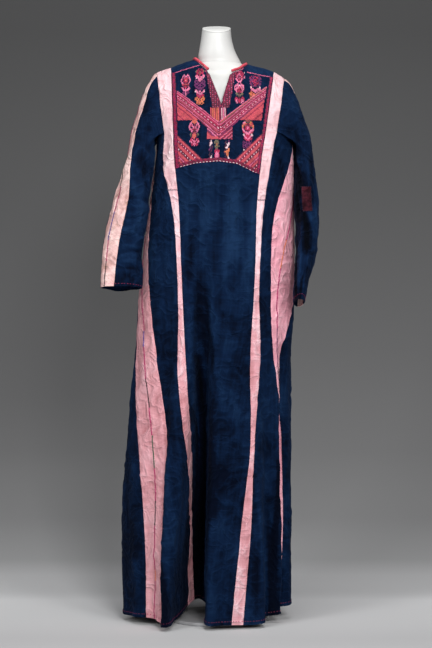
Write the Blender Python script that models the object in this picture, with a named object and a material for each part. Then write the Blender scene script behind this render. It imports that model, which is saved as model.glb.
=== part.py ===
"""A Palestinian thobe on a limbless dress form, at real size.

Metres, +Z up, the wearer faces -Y.  The origin is the middle of the stand's underside.
"Right" and "left" are the wearer's: right is -X, left is +X.

The cloth is one folded surface, cut along its seams into the panels that a maker sews.
Below the underarm a point is given by its bearing round the body (degrees, 0 in front,
positive towards the wearer's left) and its height.  Above it the front and the back arch
up to the shoulder ridge.
"""

import math
from collections import namedtuple

import bpy
import numpy as np

# Driving sizes
WALL = 0.002              # cloth, with its seam turnings
SEAM = 0.0003             # air between two pieces that are sewn together
UNDERARM = 1.300          # height of the underarm
RIDGE_Y = 0.005           # the shoulder ridge lies just behind the middle
TUCK_RIGHT = 1.146        # where the right front strip is pieced
TUCK_LEFT = 1.119         # where the left front strip is pieced
NECK_BAND = 0.007         # width of the neck binding
BAND_PROUD = 0.0005       # the binding stands this far beyond the cloth on either face
CHEST_LIFT = 0.0014       # air between the chest panel and the front's facets
CHEST_WALL = 0.0012       # the embroidered chest panel

# The body without its folds: half widths and depths of each level's oval.
Level = namedtuple("Level", "name z right left front back square")
LEVELS = (
    Level("hem", 0.00, 0.240, 0.186, 0.185, 0.215, 2.4),
    Level("shin", 0.25, 0.250, 0.192, 0.178, 0.205, 2.4),
    Level("knee", 0.47, 0.244, 0.195, 0.170, 0.190, 2.3),
    Level("thigh", 0.70, 0.221, 0.199, 0.160, 0.175, 2.2),
    Level("hip", 0.90, 0.205, 0.210, 0.150, 0.162, 2.2),
    Level("waist", 1.12, 0.181, 0.209, 0.128, 0.132, 2.2),
    Level("bust", 1.24, 0.165, 0.206, 0.138, 0.120, 2.3),
    Level("underarm", UNDERARM, 0.160, 0.203, 0.124, 0.114, 2.4),
)

# Folds grow downwards from their top: bearings at the top and at the hem, half width
# there in degrees, how far the fold stands out (or cuts in) and how far it leans over
# to the wearer's left, both in metres at the hem.
Fold = namedtuple("Fold", "name top_z top hem wide out lean")
FOLDS = (
    Fold("right crest", 0.95, -34, -28, 13, 0.055, -0.020),
    Fold("front valley", 1.02, -12, -16, 12, -0.180, -0.045),
    Fold("front valley near wall", 0.95, -17, -21, 6, -0.040, -0.032),
    Fold("front valley far wall", 0.95, -9, -11.5, 5, -0.030, 0.016),
    Fold("front lip", 0.90, -3, -4, 7, 0.014, -0.008),
    Fold("front flat", 0.80, 20, 20, 14, -0.006, 0.000),
    Fold("left hollow", 0.80, 45, 52, 14, -0.046, 0.000),
    Fold("left gore valley", 0.95, 61, 72.5, 9.5, -0.052, 0.000),
    Fold("left side crest", 0.70, 82, 86, 10, 0.012, 0.000),
    Fold("right gore hollow", 0.60, -56, -54, 12, -0.020, 0.000),
    Fold("right side crest", 0.60, -84, -82, 14, 0.012, 0.006),
    Fold("right back valley", 0.95, -118, -120, 10, -0.050, 0.008),
    Fold("back right crest", 0.80, -142, -140, 13, 0.026, -0.008),
    Fold("back right valley", 1.00, -160, -160, 11, -0.056, 0.000),
    Fold("back middle crest", 0.85, 178, 178, 13, 0.020, 0.006),
    Fold("back left valley", 1.00, 158, 156, 9, -0.055, -0.004),
    Fold("back left crest", 0.85, 138, 136, 12, 0.024, 0.008),
    Fold("left back valley", 0.95, 116, 115, 10, -0.048, -0.006),
)

# Height of the hem round the body; it rises in the folds and at the left of the back.
Hem = namedtuple("Hem", "bearing z")
HEM = (
    Hem(-180, 0.030),
    Hem(-120, 0.030),
    Hem(-85, 0.018),
    Hem(-55, 0.020),
    Hem(-30, 0.011),
    Hem(-24, 0.015),
    Hem(-16, 0.050),
    Hem(-9, 0.016),
    Hem(-5, 0.013),
    Hem(10, 0.012),
    Hem(32, 0.011),
    Hem(60, 0.022),
    Hem(80, 0.038),
    Hem(105, 0.055),
    Hem(140, 0.050),
    Hem(180, 0.030),
)

FRONT_HEM = 4             # the row from which heights on the cloth are shared out

# Bearings of the seams at each level above, from the hem up to the underarm.
SEAMS = {
    "right back panel": (-150, -150, -150, -150, -150, -147, -136, -127.7),
    "right back strip": (-141, -141, -141, -140, -139, -135, -124, -115.1),
    "right gore back": (-58.5, -58.5, -65, -82, -96, -100, -99, -97),
    "right gore middle": (-52, -49, -52.5, -66, -78, -88, -90, -90),
    "right gore front": (-36, -37, -40, -54, -67, -78, -80, -82),
    "right front strip": (-20, -20, -24, -33, -38, -51, -62, -63),
    "right front panel": (-18, -19, -21, -27, -34, -43, -46, -50),
    "left front panel": (11.5, 20.5, 29, 31, 36, 43, 45, 51),
    "left front strip": (21.5, 28.5, 32.7, 40, 40.5, 50, 54, 61),
    "left gore front": (69, 67.5, 64.5, 53, 51, 62, 76, 86),
    "left gore middle": (73.5, 72, 68, 58, 58, 81, 90, 91),
    "left gore back": (77.5, 75, 70.5, 64, 90, 99, 100, 97),
    "left back strip": (98, 99, 100, 112, 132, 133, 125, 117),
    "left back panel": (108, 109, 112, 126, 146, 146, 135, 126.7),
}

# The shoulder ridge from the wearer's right to the left.
Ridge = namedtuple("Ridge", "x z")
RIDGE = (
    Ridge(-0.175, 1.468),
    Ridge(-0.130, 1.482),
    Ridge(-0.065, 1.507),
    Ridge(0.010, 1.514),
    Ridge(0.084, 1.492),
    Ridge(0.150, 1.474),
    Ridge(0.190, 1.450),
)

# The columns fan out between the underarm and the ridge.
Fan = namedtuple("Fan", "underarm ridge")
FAN = (
    Fan(-0.160, -0.190),
    Fan(-0.142, -0.165),
    Fan(-0.118, -0.127),
    Fan(0.010, 0.011),
    Fan(0.129, 0.153),
    Fan(0.159, 0.181),
    Fan(0.202, 0.215),
)

# Neckline and front slit: the height at which the cloth ends.
Edge = namedtuple("Edge", "x z")
NECK_RIGHT = -0.065
NECK_LEFT = 0.084
SLIT_RIGHT = -0.026
SLIT_FOOT = 0.011
SLIT_LEFT = 0.038
FRONT_EDGE = (
    Edge(NECK_RIGHT, 1.507),
    Edge(-0.045, 1.486),
    Edge(SLIT_RIGHT, 1.467),
    Edge(SLIT_FOOT, 1.369),
    Edge(SLIT_LEFT, 1.461),
    Edge(0.062, 1.471),
    Edge(NECK_LEFT, 1.492),
)
BACK_EDGE = (
    Edge(NECK_RIGHT, 1.507),
    Edge(-0.035, 1.494),
    Edge(0.010, 1.489),
    Edge(0.055, 1.486),
    Edge(NECK_LEFT, 1.492),
)

INDIGO = (0.012, 0.030, 0.085)
PINK = (0.72, 0.36, 0.38)
CREAM = (0.76, 0.58, 0.53)
MAROON = (0.20, 0.02, 0.05)
CORAL = (0.62, 0.06, 0.10)
EMBROIDERY = (0.42, 0.04, 0.12)
WHITE = (0.82, 0.82, 0.80)
GREY = (0.42, 0.42, 0.43)
CLOTH_ROUGH = 0.9


def through(knots, values, at):
    """A smooth curve through a table's column."""
    knots = np.asarray(knots, float)
    values = np.asarray(values, float)
    at = np.asarray(at, float)
    slope = np.gradient(values, knots)
    i = np.clip(np.searchsorted(knots, at) - 1, 0, len(knots) - 2)
    span = knots[i + 1] - knots[i]
    t = np.clip((at - knots[i]) / span, 0, 1)
    rise = t * t * (3 - 2 * t)
    lead = t * (1 - t) ** 2 * span * slope[i]
    trail = t * t * (1 - t) * span * slope[i + 1]
    return values[i] * (1 - rise) + values[i + 1] * rise + lead - trail


def oval(bearing, z):
    """Distance from the axis to the unfolded body."""
    level = {key: through([row.z for row in LEVELS], [getattr(row, key) for row in LEVELS], z)
             for key in ("right", "left", "front", "back", "square")}
    side = np.sin(np.radians(bearing))
    ahead = np.cos(np.radians(bearing))
    wide = np.where(side < 0, level["right"], level["left"])
    deep = np.where(ahead > 0, level["front"], level["back"])
    power = level["square"]
    return (np.abs(side / wide) ** power + np.abs(ahead / deep) ** power) ** (-1 / power)


def skirt(bearing, z):
    """A point of the folded cloth at or below the underarm."""
    bearing, z = np.broadcast_arrays(np.asarray(bearing, float), np.asarray(z, float))
    reach = oval(bearing, z)
    lean = np.zeros_like(reach)
    for fold in FOLDS:
        drop = np.clip((fold.top_z - z) / fold.top_z, 0, 1)
        grown = drop * drop * (3 - 2 * drop)
        middle = fold.hem + (fold.top - fold.hem) * np.clip(z / fold.top_z, 0, 1)
        apart = (bearing - middle + 180) % 360 - 180
        bump = np.cos(np.clip(apart / fold.wide, -1, 1) * math.pi / 2) ** 2
        reach = reach + fold.out * grown * bump
        lean = lean + fold.lean * grown * bump
    side = np.sin(np.radians(bearing))
    ahead = np.cos(np.radians(bearing))
    return np.stack([reach * side + lean * ahead, -reach * ahead + lean * side, z], -1)


def hem_height(bearing):
    wrapped = (np.asarray(bearing, float) + 180) % 360 - 180
    return through([row.bearing for row in HEM], [row.z for row in HEM], wrapped)


def along_edge(edge, x):
    return np.interp(x, [row.x for row in edge], [row.z for row in edge])


def seam_bearing(name, z):
    return through([row.z for row in LEVELS], SEAMS[name], z)


def ridge_height(x):
    return through([row.x for row in RIDGE], [row.z for row in RIDGE], x)


def arch(bearing, turn):
    """A point above the underarm: turn runs from 0 there to 90 degrees at the ridge."""
    foot = skirt(bearing, UNDERARM)
    top_x = np.interp(foot[..., 0], [row.underarm for row in FAN], [row.ridge for row in FAN])
    up = np.sin(np.radians(turn))
    across = np.cos(np.radians(turn))
    x = foot[..., 0] + (top_x - foot[..., 0]) * up
    y = RIDGE_Y + (foot[..., 1] - RIDGE_Y) * across
    z = UNDERARM + (ridge_height(top_x) - UNDERARM) * up
    return np.stack([x, y, z], -1)


def arch_end(bearing, edge):
    """The turn at which a column meets the ridge or the neckline."""
    foot = skirt(bearing, UNDERARM)
    depth = np.abs(foot[..., 1] - RIDGE_Y)
    end = np.degrees(np.arccos(SEAM / 2 / depth))
    for _ in range(12):
        point = arch(bearing, end)
        x = point[..., 0]
        limit = along_edge(edge, x)
        top_x = np.interp(foot[..., 0], [row.underarm for row in FAN], [row.ridge for row in FAN])
        share = (limit - UNDERARM) / (ridge_height(top_x) - UNDERARM)
        cut = np.degrees(np.arcsin(np.clip(share, 0, 1)))
        inside = (x > NECK_RIGHT) & (x < NECK_LEFT)
        end = np.where(inside, np.minimum(cut, end), end)
    return end


def unit(vector):
    return vector / np.linalg.norm(vector, axis=-1, keepdims=True)


def surface_normal(place, a, b, step_a, step_b):
    along = place(a + step_a, b) - place(a - step_a, b)
    up = place(a, b + step_b) - place(a, b - step_b)
    return unit(np.cross(along, up))


def solid_from_grid(name, outer, inner, colour, rough):
    """One closed solid between two grids of points, [row, column, xyz]."""
    rows, columns = outer.shape[:2]
    points = np.concatenate([outer.reshape(-1, 3), inner.reshape(-1, 3)])
    below = rows * columns
    faces = []

    def quad(a, b, c, d):
        faces.append((a, b, c))
        faces.append((a, c, d))

    def spot(i, j):
        return i * columns + j

    for i in range(rows - 1):
        for j in range(columns - 1):
            near, right, far, up = spot(i, j), spot(i, j + 1), spot(i + 1, j + 1), spot(i + 1, j)
            quad(near, right, far, up)
            quad(below + near, below + up, below + far, below + right)
    for j in range(columns - 1):
        low, high = spot(0, j), spot(rows - 1, j)
        quad(low + 1, low, below + low, below + low + 1)
        quad(high, high + 1, below + high + 1, below + high)
    for i in range(rows - 1):
        first, last = spot(i, 0), spot(i, columns - 1)
        quad(first, first + columns, below + first + columns, below + first)
        quad(last, below + last, below + last + columns, last + columns)
    return add_object(name, points, faces, colour, rough)


def add_object(name, points, faces, colour, rough, metal=0.0):
    mesh = bpy.data.meshes.new(name)
    mesh.from_pydata([tuple(map(float, point)) for point in points], [], faces)
    mesh.shade_smooth()
    mesh.set_sharp_from_angle(angle=math.radians(40))
    material = bpy.data.materials.new(name)
    material.use_nodes = True
    shader = material.node_tree.nodes["Principled BSDF"]
    shader.inputs["Base Color"].default_value = (*colour, 1)
    shader.inputs["Roughness"].default_value = rough
    shader.inputs["Metallic"].default_value = metal
    mesh.materials.append(material)
    obj = bpy.data.objects.new(name, mesh)
    bpy.context.scene.collection.objects.link(obj)
    return obj


# Rows of the cloth, as shares of the way from the hem to the underarm, then as shares of
# the arch above it.  All panels use the same rows, so their edges run side by side.
def share_of(z):
    return (z - HEM[FRONT_HEM].z) / (UNDERARM - HEM[FRONT_HEM].z)


NEAR_BEARING = 3.0        # the wall follows the cloth's face over this many degrees either way
NEAR_HEIGHT = 0.010
NEAR_TURN = 2.0
LOW_ROWS = (0.0, 0.035, 0.09, 0.16, 0.23, 0.30, 0.37, 0.44, 0.51, 0.58, 0.65, 0.72, 0.79,
            share_of(TUCK_LEFT), share_of(TUCK_RIGHT), 0.91, 1.0)
ARCH_ROWS = 9


def columns_between(left, right, z_share, stops):
    """Bearings at given shares of the cloth's width between two seams, row by row."""
    rows = []
    for share in z_share:
        z = share * UNDERARM
        start, finish = seam_bearing(left, z), seam_bearing(right, z)
        if finish < start:
            finish = finish + 360
        fine = np.linspace(start, finish, 241)
        heights = hem_height(fine) + share * (UNDERARM - hem_height(fine))
        track = skirt(fine, heights)
        steps = np.linalg.norm(np.diff(track, axis=0), axis=1)
        walked = np.concatenate([[0], np.cumsum(steps)])
        trim = SEAM / 2
        wanted = trim + (walked[-1] - 2 * trim) * np.asarray(stops)
        rows.append(np.interp(wanted, walked, fine))
    return np.array(rows)


def low_grid(bearings, shares):
    hem = hem_height(bearings)
    z = hem + np.asarray(shares)[:, None] * (UNDERARM - hem)
    return skirt(bearings, z), surface_normal(skirt, bearings, z, NEAR_BEARING, NEAR_HEIGHT)


def arch_grid(bearings, edge, first=0):
    """Rows above the underarm for the columns that stand at these bearings."""
    end = arch_end(bearings, edge)
    turn = np.arange(first, ARCH_ROWS + 1)[:, None] / ARCH_ROWS * end
    spread = np.broadcast_to(bearings, turn.shape)
    return arch(spread, turn), surface_normal(arch, spread, turn, NEAR_BEARING, NEAR_TURN)


def body_panel(name, left, right, stops, colour, shares=LOW_ROWS, edge=None):
    """A panel between two seams, from the hem to the underarm or over the shoulder."""
    bearings = columns_between(left, right, shares, stops)
    outer, normal = low_grid(bearings, shares)
    if edge is not None:
        high, high_normal = arch_grid(bearings[-1], edge, 1)
        outer = np.concatenate([outer, high])
        normal = np.concatenate([normal, high_normal])
    solid_from_grid(name, outer, outer - WALL * normal, colour, CLOTH_ROUGH)
    return outer, normal


def even(count):
    return np.linspace(0, 1, count + 1)


def front_stops():
    """Column places across the front panel, with one at each corner of the neckline."""
    seams = [row.ridge for row in FAN[2:5:2]]
    corners = [NECK_RIGHT, SLIT_RIGHT, SLIT_FOOT, SLIT_LEFT, NECK_LEFT]
    marks = [0] + [(x - seams[0]) / (seams[1] - seams[0]) for x in corners] + [1]
    counts = (4, 3, 4, 4, 3, 4)
    stops = [np.linspace(a, b, count, endpoint=False)
             for a, b, count in zip(marks, marks[1:], counts)]
    return np.concatenate(stops + [[1.0]])


def pieced_strip(name, left, right, tuck, edge):
    """A front strip in two lengths that meet at the tuck."""
    at = share_of(tuck)
    middle = SEAM / 2 / UNDERARM
    lower = [share for share in LOW_ROWS if share < at - middle] + [at - middle]
    upper = [at + middle] + [share for share in LOW_ROWS if share > at + middle]
    body_panel(name + "_lower", left, right, even(3), PINK, lower)
    return body_panel(name + "_upper", left, right, even(3), PINK, upper, edge)


def on_grid(grid, row, column):
    """A point on the facets of a panel, at a row that may lie between two of its rows."""
    low = int(min(math.floor(row), len(grid) - 2))
    share = row - low
    return grid[low, column] * (1 - share) + grid[low + 1, column] * share


def row_at_height(grid, column, z):
    heights = grid[:, column, 2]
    return float(np.interp(z, heights, np.arange(len(heights))))


# The chest panel's lower edge and its upper one, which runs out at the neckline.
CHEST_FOOT = (
    Edge(-0.127, 1.199),
    Edge(-0.095, 1.206),
    Edge(-0.055, 1.214),
    Edge(0.010, 1.219),
    Edge(0.060, 1.213),
    Edge(0.110, 1.192),
    Edge(0.130, 1.186),
)
CHEST_HEAD = (
    Edge(-0.130, 1.462),
    Edge(-0.048, 1.484),
    Edge(0.000, 1.600),
    Edge(0.060, 1.600),
    Edge(0.075, 1.466),
    Edge(0.155, 1.451),
)
HEAD_ROWS = 5
SHARED_ROWS = 4           # rows that the chest panel shares with the front, from the underarm up
NECK_TURNING = 0.02       # share of a row that the front's own edge shows above the panel


def chest_panel(front, normal):
    """The embroidered panel lies on the front, so it is made from the front's own points.
    Its lower rows are the front's; above them it closes in evenly on its own head line."""
    columns = front.shape[1]
    underarm_row = len(LOW_ROWS) - 1
    shared = list(range(underarm_row, underarm_row + SHARED_ROWS))
    top_row = len(front) - 1 - NECK_TURNING
    tracks = []
    for j in range(columns):
        foot = along_edge(CHEST_FOOT, front[underarm_row - 1, j, 0])
        head = along_edge(CHEST_HEAD, front[-1, j, 0])
        high = min(row_at_height(front, j, head), top_row)
        upper = np.linspace(shared[-1], high, HEAD_ROWS + 1)[1:]
        tracks.append([row_at_height(front, j, foot)] + shared + list(upper))
    face, back = [], []
    for line in zip(*tracks):
        points = np.array([on_grid(front, row, j) for j, row in enumerate(line)])
        away = unit(np.array([on_grid(normal, row, j) for j, row in enumerate(line)]))
        back.append(points + CHEST_LIFT * away)
        face.append(points + (CHEST_LIFT + CHEST_WALL) * away)
    solid_from_grid("chest_panel", np.array(face), np.array(back), EMBROIDERY, CLOTH_ROUGH)


def neck_binding(front, front_normal, back, back_normal):
    """A narrow band sewn along the neckline, from one corner of the slit to the other."""
    def edge_run(grid, normal, first, last):
        picked = [j for j in range(grid.shape[1]) if first - SEAM <= grid[-1, j, 0] <= last + SEAM]
        return [(grid[-1, j], normal[-1, j]) for j in picked]

    left_side = edge_run(front, front_normal, SLIT_LEFT, NECK_LEFT)
    behind = edge_run(back, back_normal, NECK_RIGHT, NECK_LEFT)
    right_side = edge_run(front, front_normal, NECK_RIGHT, SLIT_RIGHT)
    run = left_side + behind + right_side
    points = np.array([point for point, _ in run])
    away = np.array([normal for _, normal in run])
    along = unit(np.gradient(points, axis=0))
    inward = unit(np.cross(away, along))
    near = points + SEAM * inward
    far = points + (SEAM + NECK_BAND) * inward
    top = np.stack([near, far]) + BAND_PROUD * away
    low = np.stack([near, far]) - (WALL + BAND_PROUD) * away
    solid_from_grid("neck_binding", top, low, CORAL, CLOTH_ROUGH)


# Sleeves: the middle of the arm and the sleeve's half widths, sideways and fore and aft.
# The outer stripe's middle and half width are in degrees: 0 faces outwards, 90 forwards.
Arm = namedtuple("Arm", "name z x y wide deep stripe half")
RIGHT_ARM = (
    Arm("upper arm", 1.245, -0.2040, -0.034, 0.0365, 0.058, 12, 38),
    Arm("elbow", 1.135, -0.2230, -0.062, 0.0460, 0.048, 36, 40),
    Arm("forearm", 1.000, -0.2480, -0.095, 0.0545, 0.036, 44, 36),
    Arm("cuff", 0.888, -0.2510, -0.125, 0.0550, 0.033, 38, 32),
)
LEFT_ARM = (
    Arm("upper arm", 1.235, 0.2335, -0.018, 0.0260, 0.064, -55, 38),
    Arm("elbow", 1.125, 0.2375, -0.050, 0.0320, 0.058, -60, 38),
    Arm("forearm", 0.985, 0.2350, -0.088, 0.0280, 0.057, -60, 38),
    Arm("lower forearm", 0.905, 0.2240, -0.112, 0.0200, 0.060, -60, 36),
    Arm("cuff", 0.850, 0.2160, -0.126, 0.0130, 0.062, -60, 34),
)
STRIPE_AT_ARMHOLE = (-4, 22)
ARMHOLE_GAP = 0.0008
CAP_SHARES = (0.0, 0.12, 0.28, 0.48, 0.73)
CAP_LEAVE = (0.055, 0.030, -0.025)      # pull away from the armhole: level, more on top, downwards
CAP_ARRIVE = (0.070, 0.130)             # pull into the arm, and more on top
ARM_STEP = 0.004                        # the arm's run is measured over this height either way
ARM_ROWS = 8
ROUND = 96                # fine points round a sleeve, from which its pieces are sampled
EVEN_OUT = 7              # the wall's direction is averaged over this many points either way


def armhole(side, front_strip, back_strip):
    """The edge that a sleeve is sewn to: down the front from the ridge, under the arm and up
    the back.  Gives its points and, at each, which way the cloth's face looks."""
    outer_column = 0 if side < 0 else -1
    from_underarm = slice(-1 - ARCH_ROWS, None)
    front_points, front_face = (grid[from_underarm, outer_column][::-1] for grid in front_strip)
    back_points, back_face = (grid[from_underarm, -1 - outer_column] for grid in back_strip)
    corners = (front_points[-1], back_points[0])
    bearings = [math.degrees(math.atan2(point[0], -point[1])) for point in corners]
    under = skirt(np.linspace(*bearings, 41), UNDERARM)
    out = np.array([side * ARMHOLE_GAP, 0, 0])
    up = np.array([0, 0, 2 * ARMHOLE_GAP])
    down = np.tile([0.0, 0.0, -1.0], (len(under), 1))
    return ((front_points + out, front_face), (under + up, down), (back_points + out, back_face))


def spread_evenly(points, values, count):
    """Values held along a line of points, taken at even steps of its length."""
    steps = np.linalg.norm(np.diff(points, axis=0), axis=1)
    walked = np.concatenate([[0], np.cumsum(steps)])
    wanted = np.linspace(0, walked[-1], count)
    return np.stack([np.interp(wanted, walked, values[:, k]) for k in range(3)], -1)


def arm_column(arm, key, z):
    """One of the arm table's columns at a height."""
    rising = arm[::-1]
    return through([row.z for row in rising], [getattr(row, key) for row in rising], z)


def arm_ring(side, arm, z):
    """An oval ring of the sleeve, square to the arm, starting at its outer side."""
    turn = np.radians(np.arange(ROUND) * 360 / ROUND)
    above, middle, below = (np.array([arm_column(arm, "x", h), arm_column(arm, "y", h), h])
                            for h in (z + ARM_STEP, z, z - ARM_STEP))
    run = unit(below - above)
    outward = unit(np.array([side, 0, 0]) - run * run[0] * side)
    forward = unit(np.array([0, -1, 0]) + run * run[1])
    return (middle + np.outer(np.cos(turn) * arm_column(arm, "wide", z), outward)
            + np.outer(np.sin(turn) * arm_column(arm, "deep", z), forward))


def sleeve_rings(side, arm, edges):
    """Rings from the armhole to the cuff, and their normals.  The cap leaves the armhole
    outwards and turns down into the arm."""
    third = ROUND // 3
    loop, face = (np.concatenate([spread_evenly(edge[0], edge[part], third + 1)[:-1] for edge in edges])
                  for part in (0, 1))
    heights = np.linspace(arm[0].z, arm[-1].z, ARM_ROWS + 1)
    rings = [arm_ring(side, arm, z) for z in heights]
    down = unit(rings[1].mean(0) - rings[0].mean(0))
    high = (np.cos(np.radians(np.arange(ROUND) * 360 / ROUND))[:, None] + 1) / 2
    level = loop * [1, 1, 0]
    leave = (CAP_LEAVE[0] + CAP_LEAVE[1] * high) * unit(level) + np.array([0, 0, CAP_LEAVE[2]])
    arrive = down * (CAP_ARRIVE[0] + CAP_ARRIVE[1] * high)
    cap = []
    for share in CAP_SHARES:
        rise = share * share * (3 - 2 * share)
        bend = share * (1 - share) ** 2 * leave - share * share * (1 - share) * arrive
        cap.append(loop * (1 - rise) + rings[0] * rise + bend)
    rings = np.array(cap + rings)
    around = np.roll(rings, -1, axis=1) - np.roll(rings, 1, axis=1)
    normals = unit(np.cross(around, np.gradient(rings, axis=0))) * side
    normals = unit(sum(np.roll(normals, turn, axis=1) for turn in range(-EVEN_OUT, EVEN_OUT + 1)))
    normals[0] = unit(face)
    return rings, normals


def round_the_ring(ring, degrees):
    """Points at these turns on one of the rings."""
    closed = np.concatenate([ring, ring, ring[:1]])
    at = np.asarray(degrees) % 360 * ROUND / 360
    return np.stack([np.interp(at, np.arange(len(closed)), closed[:, k]) for k in range(3)], -1)


def sleeve_piece(name, side, rings, normals, start, finish, columns, colour):
    """A lengthwise piece of the sleeve between two seams given in degrees, ring by ring."""
    outer, away = [], []
    for ring, normal, first, last in zip(rings, normals, start, finish):
        girth = np.linalg.norm(ring - np.roll(ring, 1, axis=0), axis=1).sum()
        trim = SEAM / girth * 360
        degrees = np.linspace(first + trim, last - trim, columns + 1)
        outer.append(round_the_ring(ring, degrees))
        away.append(unit(round_the_ring(normal, degrees)))
    outer, away = np.array(outer), np.array(away)
    if side < 0:
        outer, away = outer[::-1], away[::-1]
    solid_from_grid(name, outer, outer - WALL * away, colour, CLOTH_ROUGH)
    return outer, away


def sleeve(side, arm, word, front_strip, back_strip):
    rings, normals = sleeve_rings(side, arm, armhole(side, front_strip, back_strip))
    heights = np.linspace(arm[0].z, arm[-1].z, ARM_ROWS + 1)
    ease = np.array(CAP_SHARES)
    middle = np.concatenate([STRIPE_AT_ARMHOLE[0] + (arm[0].stripe - STRIPE_AT_ARMHOLE[0]) * ease,
                             arm_column(arm, "stripe", heights)])
    half = np.concatenate([STRIPE_AT_ARMHOLE[1] + (arm[0].half - STRIPE_AT_ARMHOLE[1]) * ease,
                           arm_column(arm, "half", heights)])
    under = np.full(len(rings), 180.0)
    pieces = (("stripe_front", middle, middle + half, 3, CREAM),
              ("stripe_back", middle - half, middle, 3, CREAM),
              ("front", middle + half, under, 9, INDIGO),
              ("back", under, middle - half + 360, 9, INDIGO))
    made = {}
    for piece, start, finish, columns, colour in pieces:
        made[piece] = sleeve_piece(f"sleeve_{word}_{piece}", side, rings, normals, start, finish,
                                   columns, colour)
    return made


PATCH_LIFT = 0.0005
PATCH_WALL = 0.0010
PATCH_COLUMNS = (4, 5, 6)
PATCH_TOP = 1.156
PATCH_FOOT = 1.090


def elbow_patch(front, away):
    """A mend on the wearer's left sleeve, made from the sleeve's own points."""
    columns = list(PATCH_COLUMNS)
    rows = [[row_at_height(front[::-1], j, z) for j in columns]
            for z in np.linspace(PATCH_TOP, PATCH_FOOT, 3)]
    points = np.array([[on_grid(front[::-1], row, j) for row, j in zip(line, columns)] for line in rows])
    lift = np.array([[on_grid(away[::-1], row, j) for row, j in zip(line, columns)] for line in rows])
    low = points + PATCH_LIFT * unit(lift)
    high = points + (PATCH_LIFT + PATCH_WALL) * unit(lift)
    solid_from_grid("sleeve_left_patch", high, low, MAROON, CLOTH_ROUGH)


# The dress form: squared ovals of the torso up to the neck seat, then the neck, which rounds
# off and slants until its cut end faces a little forwards, closed by a thin cap.
# right, left, front and back are half widths from the stand's axis; slant is the rise of a
# ring towards the back, and square is 2 for a true oval.
Form = namedtuple("Form", "z right left front back square slant")
TORSO = (
    Form(0.840, 0.1500, 0.1500, 0.100, 0.110, 2.3, 0),
    Form(0.900, 0.1600, 0.1650, 0.108, 0.120, 2.3, 0),
    Form(1.000, 0.1500, 0.1600, 0.100, 0.112, 2.3, 0),
    Form(1.100, 0.1280, 0.1380, 0.090, 0.094, 2.3, 0),
    Form(1.180, 0.1300, 0.1450, 0.104, 0.094, 2.3, 0),
    Form(1.250, 0.1380, 0.1550, 0.112, 0.096, 2.3, 0),
    Form(1.320, 0.1420, 0.1600, 0.100, 0.094, 2.3, 0),
    Form(1.380, 0.1460, 0.1600, 0.084, 0.084, 2.3, 0),
    Form(1.420, 0.1460, 0.1560, 0.068, 0.066, 2.3, 0),
    Form(1.445, 0.1440, 0.1500, 0.058, 0.050, 2.3, 0),
    Form(1.460, 0.1360, 0.1360, 0.055, 0.042, 2.3, 0),
    Form(1.472, 0.1060, 0.1120, 0.050, 0.040, 2.3, 0),
    Form(1.484, 0.0700, 0.0800, 0.048, 0.040, 2.2, 0),
    Form(1.496, 0.0515, 0.0655, 0.047, 0.038, 2.0, 0),
)
NECK = (
    Form(1.4963, 0.0513, 0.0653, 0.047, 0.038, 2.0, 0),
    Form(1.5040, 0.0500, 0.0615, 0.047, 0.037, 2.0, 0.02),
    Form(1.5150, 0.0505, 0.0556, 0.048, 0.035, 2.0, 0.05),
    Form(1.5310, 0.0482, 0.0482, 0.049, 0.033, 2.0, 0.12),
    Form(1.5480, 0.0455, 0.0430, 0.049, 0.031, 2.0, 0.20),
    Form(1.5640, 0.0430, 0.0395, 0.049, 0.029, 2.0, 0.28),
    Form(1.5885, 0.0400, 0.0372, 0.048, 0.028, 2.0, 0.36),
)
NECK_CAP = (
    Form(1.5888, 0.0394, 0.0366, 0.0474, 0.0274, 2.0, 0.36),
    Form(1.5908, 0.0397, 0.0369, 0.0477, 0.0277, 2.0, 0.36),
    Form(1.5920, 0.0390, 0.0362, 0.0470, 0.0270, 2.0, 0.36),
)
Turned = namedtuple("Turned", "z radius")
POLE_RADIUS = 0.0125
BASE_RADIUS = 0.140
BASE_HEIGHT = 0.008
BASE_EDGE = 0.0015
FORM_COLUMNS = 40


def solid_from_rings(name, rings, colour, rough, metal=0.0):
    """A closed solid through rings of points, lowest first, with flat ends."""
    rings = np.asarray(rings)
    levels, around = rings.shape[:2]
    points = np.concatenate([rings.reshape(-1, 3), [rings[0].mean(0)], [rings[-1].mean(0)]])
    foot, head = levels * around, levels * around + 1
    faces = []
    for j in range(around):
        k = (j + 1) % around
        for i in range(levels - 1):
            low, high = i * around, (i + 1) * around
            faces.append((low + j, low + k, high + k))
            faces.append((low + j, high + k, high + j))
        faces.append((foot, k, j))
        faces.append((head, foot - around + j, foot - around + k))
    return add_object(name, points, faces, colour, rough, metal)


def form_rings(table):
    """Rings of the dress form from its table of half widths."""
    turn = np.arange(FORM_COLUMNS) * 2 * math.pi / FORM_COLUMNS
    side, ahead = np.sin(turn), np.cos(turn)
    rings = []
    for row in table:
        wide = np.where(side < 0, row.right, row.left)
        deep = np.where(ahead > 0, row.front, row.back)
        reach = (np.abs(side / wide) ** row.square + np.abs(ahead / deep) ** row.square)
        reach = reach ** (-1 / row.square)
        y = -reach * ahead
        rings.append(np.column_stack([reach * side, y, row.z + row.slant * y]))
    return rings


def dress_form():
    solid_from_rings("form_torso", form_rings(TORSO), WHITE, 0.35)
    solid_from_rings("form_neck", form_rings(NECK), WHITE, 0.35)
    solid_from_rings("form_neck_cap", form_rings(NECK_CAP), WHITE, 0.35)


def turned(profile, around=FORM_COLUMNS):
    """Rings of a round piece from its profile."""
    turn = np.arange(around) * 2 * math.pi / around
    circle = np.stack([np.sin(turn), -np.cos(turn)], -1)
    return [np.column_stack([circle * row.radius, np.full(around, row.z)]) for row in profile]


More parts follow.
